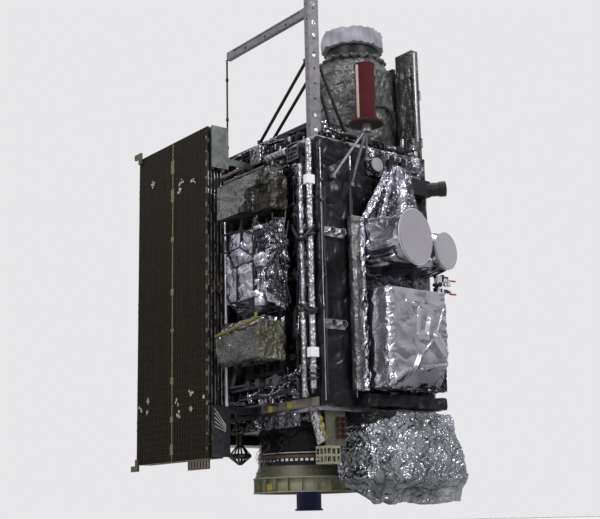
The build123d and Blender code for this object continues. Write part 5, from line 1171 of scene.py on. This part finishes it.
class SATELLITE_OT_array_trim(bpy.types.Operator):
    """Tapes, rosettes and edge fittings of the folded array"""

    bl_idname = "satellite.array_trim"
    bl_label = "Array trim"

    # Round patches on the front, x and z of their middles
    ROSETTES = (
        (-0.54, 3.84), (-0.23, 3.77), (-0.56, 3.71), (-1.22, 3.96), (-1.30, 1.17), (-1.30, 1.01),
        (-0.59, 1.09), (-0.57, 0.93), (-0.28, 1.17), (-0.30, 0.99), (-1.47, 1.10),
    )
    # Patches of the middle line, low and high
    PATCHES = (
        (3.99, 4.16), (3.62, 3.78), (3.10, 3.16), (2.42, 2.50), (1.96, 2.00), (1.32, 1.40), (0.86, 0.93),
        (0.47, 0.60),
    )
    # Left and right edges of the middle line and of its patches
    LINE_X = (-0.735, -0.715)
    PATCH_X = (-0.765, -0.695)
    # Steps from one mark or fitting to the next
    MARK_PITCH = 0.17
    FITTING_PITCH = 0.16

    def execute(self, context):
        front = STACK_FRONT - CELL_T
        line = [(*self.LINE_X, 0.002, STACK_LOW + 0.01, STACK_HIGH - 0.01)]
        line += [(*self.PATCH_X, 0.003, low, high) for low, high in self.PATCHES]
        lay_slabs("array_patches", "tan tape", *(
            ((left, front - thick, low), (right, front, high)) for left, right, thick, low, high in line),
            body="panel_5")
        random = np.random.default_rng(61)
        caps = []
        for x, z in self.ROSETTES:
            for _ in range(6):
                side, rise = random.normal(scale=0.022, size=2)
                caps.append(rod((x + side, front, z + rise), (x + side, front - 0.005, z + rise),
                                random.uniform(0.009, 0.020), 8))
        caps.append(slab((-0.04, front - 0.004, 1.08), (0.0, front, 1.12)))
        finish_piece(joined(caps), "array_rosettes", "pale tape", "panel_5")
        lay_slabs("array_edge_tape", "carbon", (
            (0.040, front - 0.003, STACK_LOW + 0.02), (0.062, front, STACK_HIGH - 0.02)), body="panel_5")
        lay_slabs("array_edge_marks", "tan tape", *(
            ((0.036, front - 0.005, level), (0.066, front - 0.001, level + random.uniform(0.02, 0.07)))
            for level in np.arange(STACK_LOW + 0.1, STACK_HIGH - 0.1, self.MARK_PITCH)), body="panel_5")
        for number in range(1, PANELS + 1):
            self.panel_edge(number, random)
        return {"FINISHED"}

    def panel_edge(self, number, random):
        """Fittings, bright slivers as painted glints, and dark tape along the right edge of one panel."""
        body = f"panel_{number}"
        face = STACK_FRONT + (PANELS - number) * STACK_PITCH
        fittings = []
        start = STACK_LOW + 0.06 + 0.03 * number
        for level in np.arange(start, STACK_HIGH - self.FITTING_PITCH, self.FITTING_PITCH):
            deep = random.uniform(0.002, 0.004)
            level += random.uniform(-0.07, 0.07)
            fittings.append((
                (STACK_RIGHT - 0.002, face + 0.002, level),
                (STACK_RIGHT + deep, face + PANEL_T - 0.002, level + random.uniform(0.015, 0.11))))
        lay_slabs(f"edge_fittings_{number}", "worn dark" if number in (2, 4) else "worn metal", *fittings,
                  rounding=0.002, body=body)
        # White slivers along the edge: painted glints
        glints = []
        level = STACK_LOW + 0.05 * number
        while level < STACK_HIGH - 0.5:
            high = level + random.uniform(0.05, 0.45)
            glints.append(((STACK_RIGHT, face + 0.004, level), (STACK_RIGHT + 0.0025, face + 0.009, high)))
            level = high + random.uniform(0.02, 0.30)
        lay_slabs(f"edge_glints_{number}", "white metal", *glints, body=body)
        lay_slabs(f"edge_tape_{number}", "carbon", (
            (STACK_RIGHT - 0.001, face + 0.001, STACK_LOW),
            (STACK_RIGHT + 0.001, face + PANEL_T - 0.001, STACK_HIGH)), body=body)


class SATELLITE_OT_face_a_trim(bpy.types.Operator):
    """Hoses, clamps, tapes and small plates around the instruments beside the array"""

    bl_idname = "satellite.face_a_trim"
    bl_label = "Face A trim"

    # Loops of hose around the corner tubes, x and z
    LOOPS = ((1.21, 2.80), (1.36, 2.83), (1.21, 1.98), (1.36, 1.93), (1.36, 1.20))

    def execute(self, context):
        out = FACE_A_Y
        lay_hoses(
            "face_a_hoses", "black hose",
            ((1.02, out - 0.10, AFT_TOP + 0.3), (1.30, out - 0.01, 3.85), 2, 9, 0.011, 71),
            ((0.12, out - 0.13, AFT_TOP + 0.2), (0.22, out - 0.01, 3.80), 2, 5, 0.010, 72),
            ((0.12, out - 0.17, 1.02), (1.25, out - 0.02, 1.40), 0, 10, 0.012, 73, 7),
            ((-0.30, out - 0.16, 3.55), (1.20, out - 0.02, 3.86), 0, 7, 0.010, 74, 7))
        lay_hoses(
            "face_a_pipes", "bright film",
            ((1.04, out - 0.12, 1.5), (1.32, out - 0.02, 3.8), 2, 5, 0.008, 75),
            ((0.12, out - 0.19, 1.02), (1.25, out - 0.02, 1.38), 0, 6, 0.007, 76, 7),
            ((-0.30, out - 0.18, 3.60), (1.20, out - 0.02, 3.84), 0, 4, 0.007, 77, 7))
        lay_blocks(
            ("face_a_clamps", "worn metal", (0.98, out - 0.11, 1.0), (1.32, out, 3.85), 60, 0.045, 78),
            ("face_a_plugs", "bright film", (0.12, out - 0.14, 0.98), (1.25, out, 1.40), 46, 0.050, 79),
            ("face_a_blocks", "bare metal", (-0.20, out - 0.15, 3.62), (1.20, out, 3.88), 40, 0.050, 80),
            ("face_a_dark_blocks", "carbon", (0.12, out - 0.16, 1.0), (1.30, out, 3.85), 90, 0.050, 81))
        lay_slabs("tan_plate", "tan panel", (
            (0.27, out - 0.022, AFT_TOP), (1.36, out - 0.012, AFT_TOP + 0.10)), rounding=0.003)
        lay_slabs(
            "plate_patches", "yellow tape",
            ((0.42, out - 0.026, 0.90), (0.50, out - 0.021, 0.97)),
            ((0.78, out - 0.026, 0.92), (0.87, out - 0.021, 0.985)))
        self.box_tapes()
        self.tube_clamps()
        self.array_slats()
        return {"FINISHED"}

    def box_tapes(self):
        """Amber tape around the lower instrument's front, and small amber blocks on its side as painted
        glints.
        """
        low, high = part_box("lower_instrument")
        front, side = low.y - 0.002, high.x + 0.012
        corner = (high.x - 0.02, front, high.z - 0.055)
        tapes = [
            line_of([(low.x, front, high.z - 0.145), corner], 0.022, bends=False),
            line_of([corner, (high.x - 0.02, front + 0.01, high.z + 0.02)], 0.020, bends=False),
        ]
        finish_piece(joined(tapes), "box_tapes", "amber tape")
        # Small amber blocks on the side: painted glints
        lay_blocks((
            "box_glints", "amber tape", (side - 0.014, low.y + 0.06, low.z + 0.08),
            (side + 0.004, high.y - 0.05, high.z - 0.08), 16, 0.015, 82))

    def tube_clamps(self):
        """Black hoses that loop around the corner tubes, and the white blocks on the thinner one."""
        blocks = skin_of("tube_blocks", 0.004)
        spots = mesh_spots(blocks)
        low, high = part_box("tube_blocks")
        middle = (low.x + high.x) / 2
        spots[:, 0] = middle + (spots[:, 0] - middle) * 0.74
        spots[:, 2] += 0.02 * between(spots[:, 2], 2.0, 2.1)
        place_spots(blocks, spots)
        modify(blocks, "DECIMATE", ratio=0.25)
        finish_piece(blocks, "white_blocks", "white plastic", replaces=["tube_blocks"])
        out = FACE_A_Y - 0.09
        loops = []
        for x, level in self.LOOPS:
            loops.append(hoop((x, out, level), 0.052, 0.016, (0.25, 0.1, 0), 24))
            loops.append(hoop((x, out, level + 0.045), 0.050, 0.012, (-0.2, 0.15, 0), 24))
        for bends in (
            ((1.05, out - 0.02, 3.0), (1.15, out - 0.08, 2.9), (1.27, out - 0.09, 2.76),
             (1.38, out - 0.07, 2.80), (1.44, out, 2.92)),
            ((1.02, out + 0.02, 1.7), (1.10, out - 0.06, 2.02), (1.30, out - 0.08, 2.03),
             (1.42, out - 0.06, 1.90), (1.45, out, 1.97)),
        ):
            loops.append(line_of(bends, 0.020))
        finish_piece(joined(loops), "tube_loops", "black hose")

    def array_slats(self):
        """Thin slats beside the lower end of the array."""
        low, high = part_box("array_bracket")
        slats = [line_of([(high.x + 0.004, low.y + 0.015, 0.95 - 0.20 * share),
                          (high.x + 0.006, low.y + 0.17, 0.76 - 0.07 * share)], 0.0045, bends=False)
                 for share in np.linspace(0, 1, 5)]
        finish_piece(joined(slats), "array_slats", "white metal")


class SATELLITE_OT_face_b_trim(bpy.types.Operator):
    """Cables, bright edges and clamps of the column, and the crinkled band at the deck's edge"""

    bl_idname = "satellite.face_b_trim"
    bl_label = "Face B trim"

    # Size of the band, and y and z of its middle
    BAND_SIZE = (0.96, 0.36)
    BAND_MIDDLE = (0.35, 3.84)

    def execute(self, context):
        folds = context.scene.satellite_folds
        (_, left, _), (face, right, _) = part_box("blanket_column")
        lay_hoses(
            "column_cables", "black hose",
            ((face, left + 0.02, 1.0), (face + 0.03, left + 0.12, 3.9), 2, 3, 0.008, 83),
            ((face, right - 0.10, 1.0), (face + 0.03, right, 3.9), 2, 4, 0.009, 84))
        edges = [line_of([(x, y, z) for z in levels], radius) for x, y, levels, radius in (
            (face + 0.006, left + 0.03, (0.95, 1.8, 2.7, 3.85), 0.007),
            (face + 0.004, right - 0.02, (1.0, 2.0, 3.0, 3.85), 0.006),
        )]
        finish_piece(joined(edges), "column_edges", "silver film")
        lay_blocks((
            "column_clamps", "worn dark", (face - 0.01, left + 0.02, 1.0), (face + 0.030, left + 0.10, 3.85),
            12, 0.028, 85))
        width, length = self.BAND_SIZE
        band = sheet_grid((FACE_B_X + 0.028, *self.BAND_MIDDLE), width, length, "+x", 0.010)
        crumple(band, folds.film * 1.4, 0.12, 86, keep=0.6, stretch=(1, 1.3, 1.0))
        finish_sheet(band, "edge_band", "dark film")
        paint_part(band, "bright film", lambda x, y, z: np.sin(y * 17 + 3 * z) * np.cos(z * 15) > 0.35)
        return {"FINISHED"}


class SATELLITE_OT_deck_trim(bpy.types.Operator):
    """Boxes, cables and silver pipes over the top deck, and the trim of what stands on it"""

    bl_idname = "satellite.deck_trim"
    bl_label = "Deck trim"

    # Heights of the round foil patches on the mast, whose bright film is partly a painted highlight
    MAST_PATCHES = (5.05, 5.31, 5.47, 5.72, 4.30, 4.12)
    # Ties around the red cover's top, and the ruffle around the telescope
    SCALLOP_RADIUS = 0.112
    SCALLOPS = 22
    SHOULDER_RADIUS = 0.385

    def execute(self, context):
        top = DECK_TOP
        front = FACE_A_Y
        folds = context.scene.satellite_folds
        lay_hoses(
            "deck_cables", "black hose",
            ((-1.2, front - 0.04, top + 0.01), (1.2, front + 0.12, top + 0.22), 0, 9, 0.011, 91, 8),
            ((0.2, -0.7, top + 0.01), (1.3, -0.2, top + 0.10), 1, 6, 0.012, 92))
        lay_hoses("deck_pipes", "bright film", (
            (-1.2, front - 0.05, top + 0.02), (1.2, front + 0.10, top + 0.24), 0, 5, 0.009, 93, 8))
        corner = (-1.2, front - 0.05, top)
        lay_blocks(
            ("deck_blocks", "carbon", corner, (1.25, front + 0.12, top + 0.10), 46, 0.055, 94),
            ("deck_bits", "bare metal", corner, (1.25, front + 0.10, top + 0.12), 34, 0.045, 95))
        lay_hoses("deck_edge_pipes", "bright film", (
            (1.22, -0.80, top + 0.005), (1.40, 0.85, top + 0.13), 1, 8, 0.012, 99, 7))
        lay_hoses("deck_edge_hoses", "black hose", (
            (1.18, -0.80, top + 0.005), (1.40, 0.85, top + 0.12), 1, 8, 0.012, 100, 7))
        corner = (1.20, -0.80, top)
        lay_blocks(
            ("deck_edge_blocks", "carbon", corner, (1.41, 0.85, top + 0.10), 60, 0.060, 101),
            ("deck_edge_bits", "bare metal", corner, (1.41, 0.85, top + 0.11), 36, 0.045, 102))
        self.soft_box("deck_crate", "grey film", (0.92, -0.62, top + 0.005), (1.14, -0.46, top + 0.30), 0.010,
                      folds.film, 0.12, 103)
        low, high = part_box("mast")
        patches = [rod((high.x, low.y + 0.075, z), (high.x + 0.003, low.y + 0.075, z), 0.027, 14)
                   for z in self.MAST_PATCHES]
        finish_piece(joined(patches), "mast_patches", "bright film")
        self.cover_trim()
        self.telescope_trim()
        self.imager_trim(folds)
        return {"FINISHED"}

    def soft_box(self, name, finish, low, high, voxel, height, width, seed, stretch=(1, 1, 1)):
        """A box in crumpled film."""
        box = slab(low, high)
        modify(box, "REMESH", mode="VOXEL", voxel_size=voxel)
        crumple(box, height, width, seed, keep=0.5, stretch=stretch)
        finish_piece(box, name, finish)

    def cover_trim(self):
        """A pale strip down the red cover, and its ties."""
        low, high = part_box("helix_antenna")
        middle = (low.y + high.y) / 2
        centre = (low.x + high.x) / 2
        lay_slabs("cover_strip", "pale tape", (
            (centre - 0.012, middle - 0.130, low.z + 0.03), (centre + 0.022, middle - 0.108, high.z - 0.02)),
            rounding=0.004)
        stamp = hoop((0, 0, 0), 0.014, 0.004, (0, 0, 0), 12)
        reach = self.SCALLOP_RADIUS
        places = [Matrix.Translation((centre + reach * cos(turn), middle + reach * sin(turn), high.z - 0.002))
                  for turn in np.linspace(0, 2 * pi, self.SCALLOPS, endpoint=False)]
        finish_piece(repeated(stamp, places), "cover_scallops", "red cloth")

    def telescope_trim(self):
        """Ruffled shoulder and a hose."""
        low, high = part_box("telescope_baffle")
        middle = (low + high) / 2
        ring = []
        for turn in np.linspace(0, 2 * pi, 120):
            reach = self.SHOULDER_RADIUS + 0.020 * sin(17 * turn) + 0.012 * sin(41 * turn)
            level = low.z - 0.045 + 0.014 * sin(23 * turn + 1)
            ring.append((middle.x + reach * cos(turn), middle.y + reach * sin(turn), level))
        finish_piece(line_of(ring, 0.032), "shoulder_ruffle", "grey blanket")
        hose = line_of([(1.12, 0.20, 4.64), (1.17, 0.33, 4.70), (1.17, 0.49, 4.70), (1.15, 0.62, 4.53),
                        (1.13, 0.60, 4.44), (1.08, 0.66, 4.40)], 0.017)
        finish_piece(hose, "telescope_hose", "black hose")

    def imager_trim(self, folds):
        """Film between the imager and the telescope and over its front, a pale edge, and blocks."""
        low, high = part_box("imager")
        self.soft_box(
            "imager_drape", "grey blanket", (low.x - 0.14, low.y + 0.01, DECK_TOP + 0.01),
            (low.x + 0.03, low.y + 0.08, high.z - 0.12), 0.014, folds.blanket, 0.14, 57, (1, 1, 2))
        front = sheet_grid((1.19, low.y - 0.014, (DECK_TOP + high.z) / 2 - 0.10), 0.28,
                           high.z - DECK_TOP - 0.28, "-y", 0.011)
        crumple(front, folds.film * 1.1, 0.13, 58, keep=0.6, stretch=(1, 1, 4))
        finish_sheet(front, "imager_front_film", "grey blanket")
        # name, finish, low corner, high corner, rounding
        for name, finish, start, end, rounding in (
            ("imager_edge", "white metal", (high.x - 0.006, low.y - 0.006, DECK_TOP + 0.22),
             (high.x + 0.004, low.y + 0.02, high.z - 0.05), 0.003),
            ("imager_block", "grey film", (1.24, low.y - 0.05, 4.05), (1.35, low.y - 0.002, 4.30), 0.012),
            ("imager_post", "white metal", (1.12, low.y - 0.05, 4.10), (1.17, low.y - 0.02, 4.34), 0.006),
        ):
            lay_slabs(name, finish, (start, end), rounding=rounding)


class SATELLITE_OT_aft_trim(bpy.types.Operator):
    """Bands, rivets, patches and hoses around the aft ring, and the foil skirt under the deck"""

    bl_idname = "satellite.aft_trim"
    bl_label = "Aft trim"

    # Bands on the cylinder: name, finish, distance from it, low and high
    BANDS = (
        ("copper_band", "copper band", 0.001, 0.398, 0.432),
        ("pale_band", "white metal", 0.002, 0.452, 0.462),
    )
    # Heights of the pale pattern and of the rivets, and turns of the ring's patches
    PATTERN_Z = 0.374
    RIVET_RADIUS = 0.634
    RIVET_Z = 0.245
    PATCH_TURNS = (-1.41, 0.02, 1.6, 3.1)
    SKIRT_SIZE = (1.56, 0.15)

    def execute(self, context):
        folds = context.scene.satellite_folds
        low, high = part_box("thrust_cylinder")
        inner = (high.x - low.x) / 2
        self.cylinder_trim(inner)
        self.ring_trim()
        self.hoses(inner)
        lay_blocks((
            "aft_plugs", "bare metal", (-0.7, FACE_A_Y + 0.02, AFT_LOW - 0.09),
            (1.1, FACE_A_Y + 0.3, AFT_LOW), 40, 0.05, 97))
        width, length = self.SKIRT_SIZE
        skirt = sheet_grid((0.27, FACE_A_Y - 0.047, AFT_LOW - length / 2), width, length, "-y", 0.009)
        crumple(skirt, folds.film, 0.10, 98, keep=0.6, stretch=(1.3, 1, 1))
        finish_sheet(skirt, "aft_skirt", "dark film")
        return {"FINISHED"}

    def ring_trim(self):
        """Yellow patches on the ring, and rivets around its cone."""
        low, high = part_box("separation_ring")
        radius = (high.x - low.x) / 2
        patches = []
        for turn in self.PATCH_TURNS:
            patch = slab((radius - 0.004, -0.045, low.z + 0.03), (radius + 0.003, 0.045, low.z + 0.095))
            patch.data.transform(Matrix.Rotation(turn, 4, "Z"))
            patches.append(patch)
        finish_piece(joined(patches), "ring_patches", "yellow tape")
        stamp = rod((-0.006, 0, 0), (0.005, 0, 0.001), 0.0065, 8)
        places = round_places(72, self.RIVET_RADIUS, self.RIVET_Z)
        finish_piece(repeated(stamp, places), "cone_rivets", "worn metal")

    def cylinder_trim(self, inner):
        """Bands around the thrust cylinder, and thin lines beside it."""
        for name, finish, out, low, high in self.BANDS:
            finish_piece(collar(inner + out, low, high), name, finish)
        stamp = slab((-0.004, -0.018, -0.015), (0.004, 0.018, 0.015))
        places = round_places(64, inner + 0.004, self.PATTERN_Z)
        finish_piece(repeated(stamp, places), "pattern_band", "pale film")
        lines = []
        for start, level in ((-1.75, 0.70), (-1.60, 0.66), (-1.30, 0.62)):
            turns = [start + 0.10 * step * sin(step) for step in range(6)]
            lines.append(line_of([
                ((inner + 0.03) * cos(turn), (inner + 0.03) * sin(turn), level - 0.055 * step)
                for step, turn in enumerate(turns)], 0.0035))
        finish_piece(joined(lines), "aft_lines", "grey tube")

    def hoses(self, inner):
        """Hoses that run around the cylinder under the deck."""
        random = np.random.default_rng(96)
        hoses = []
        for _ in range(14):
            start = random.uniform(-pi, pi)
            reach = inner + random.uniform(0.06, 0.22)
            hoses.append(line_of([
                (reach * cos(start + step * 0.16), reach * sin(start + step * 0.16),
                 AFT_LOW - 0.03 - 0.10 * random.uniform()) for step in range(7)], 0.010))
        finish_piece(joined(hoses), "aft_hoses", "black hose")


class SATELLITE_OT_stage(bpy.types.Operator):
    """Sets the floor, the lamps, the sky and the camera"""

    bl_idname = "satellite.stage"
    bl_label = "Stage and camera"

    def execute(self, context):
        bpy.ops.mesh.primitive_plane_add(size=FLOOR_SIZE, location=(0, 0, FLOOR_Z))
        floor = settle()
        floor.name = "floor"
        floor.data.materials.append(new_finish("floor paint", (0.62, 0.62, 0.61), roughness=0.8))
        # place, size, power
        for place, size, power in (
            ((4.0, -12.0, 9.5), 3.0, 900.0),
            ((12.0, 1.0, 9.0), 3.0, 800.0),
            ((1.0, 0.0, 14.0), 5.0, 600.0),
            ((-9.0, 6.0, 9.0), 5.0, 600.0),
        ):
            bpy.ops.object.light_add(type="AREA", location=place)
            lamp = bpy.context.object
            lamp.data.size = size
            lamp.data.energy = power
            lamp.rotation_euler = (AIM - Vector(place)).to_track_quat("-Z", "Y").to_euler()
        self.sky(context)
        self.camera(context)
        return {"FINISHED"}

    def sky(self, context):
        """Pale to the eye. In gloss the room has darker corners, and dull surfaces get a softer light."""
        world = bpy.data.worlds.new("studio")
        context.scene.world = world
        world.use_nodes = True
        world.node_tree.nodes.clear()
        ray = add_node(world, "ShaderNodeLightPath").outputs
        way = add_node(world, "ShaderNodeTexCoord").outputs["Generated"]
        corners = add_node(world, "ShaderNodeTexNoise", {"Vector": way, "Scale": 1.7, "Detail": 2.0})
        height = add_node(world, "ShaderNodeSeparateXYZ", {0: way}).outputs["Z"]
        level = add_node(world, "ShaderNodeMath", {0: height, 1: 0.45, 2: corners.outputs["Fac"]},
                         operation="MULTIPLY_ADD")
        room = ramp(world, level.outputs[0], [
            (position, (bright, bright, bright * 1.04))
            for position, bright in ((0.36, 0.05), (0.47, 0.45), (0.62, 0.95))])
        seen, soft, glossy = (
            add_node(world, "ShaderNodeBackground", {"Color": colour}).outputs[0]
            for colour in ((0.80, 0.80, 0.815, 1), (0.50, 0.50, 0.52, 1), room))
        shiny = add_node(world, "ShaderNodeMixShader", {0: ray["Is Glossy Ray"], 1: soft, 2: glossy})
        clear = add_node(world, "ShaderNodeMath", {0: ray["Is Camera Ray"], 1: ray["Is Transmission Ray"]},
                         operation="MAXIMUM")
        mix = add_node(world, "ShaderNodeMixShader", {0: clear.outputs[0], 1: shiny.outputs[0], 2: seen})
        add_node(world, "ShaderNodeOutputWorld", {"Surface": mix.outputs[0]})

    def camera(self, context):
        """Looks up from the floor, as the photograph does."""
        ahead = Vector((-sin(YAW) * cos(PITCH), cos(YAW) * cos(PITCH), sin(PITCH)))
        level = Vector((cos(YAW), sin(YAW), 0))
        above = level.cross(ahead)
        right = cos(ROLL) * level + sin(ROLL) * above
        up = cos(ROLL) * above - sin(ROLL) * level
        lens = bpy.data.cameras.new("camera")
        lens.lens = LENS_MM
        lens.sensor_width = SENSOR_MM
        camera = new_object("camera", lens)
        camera.matrix_world = Matrix.Translation(EYE) @ Matrix((right, up, -ahead)).transposed().to_4x4()
        context.scene.camera = camera
        context.scene.view_settings.view_transform = "Standard"


class SATELLITE_PT_sidebar(bpy.types.Panel):
    """Lists the settings and the steps"""

    bl_idname = "SATELLITE_PT_sidebar"
    bl_label = "Folded Satellite"
    bl_space_type = "VIEW_3D"
    bl_region_type = "UI"
    bl_category = "Satellite"

    def draw(self, context):
        for group in (context.scene.satellite_colours, context.scene.satellite_folds):
            for name in group.__annotations__:
                self.layout.prop(group, name)
        for step in STEPS:
            self.layout.operator(step.bl_idname)


STEPS = (
    SATELLITE_OT_finishes,
    SATELLITE_OT_construction,
    SATELLITE_OT_stage,
    SATELLITE_OT_cells,
    SATELLITE_OT_instruments,
    SATELLITE_OT_body_blankets,
    SATELLITE_OT_wing_box,
    SATELLITE_OT_wing,
    SATELLITE_OT_lower_pod,
    SATELLITE_OT_telescope,
    SATELLITE_OT_array_trim,
    SATELLITE_OT_face_a_trim,
    SATELLITE_OT_face_b_trim,
    SATELLITE_OT_deck_trim,
    SATELLITE_OT_aft_trim,
)
CLASSES = (SatelliteColours, SatelliteFolds, *STEPS, SATELLITE_PT_sidebar)


def register():
    for item in CLASSES:
        bpy.utils.register_class(item)
    bpy.types.Scene.satellite_colours = PointerProperty(type=SatelliteColours)
    bpy.types.Scene.satellite_folds = PointerProperty(type=SatelliteFolds)


def unregister():
    del bpy.types.Scene.satellite_folds
    del bpy.types.Scene.satellite_colours
    for item in reversed(CLASSES):
        bpy.utils.unregister_class(item)


def main():
    """Makes everything in order."""
    register()
    for step in STEPS:
        group, name = step.bl_idname.split(".")
        getattr(getattr(bpy.ops, group), name)()


if __name__ == "__main__":
    main()
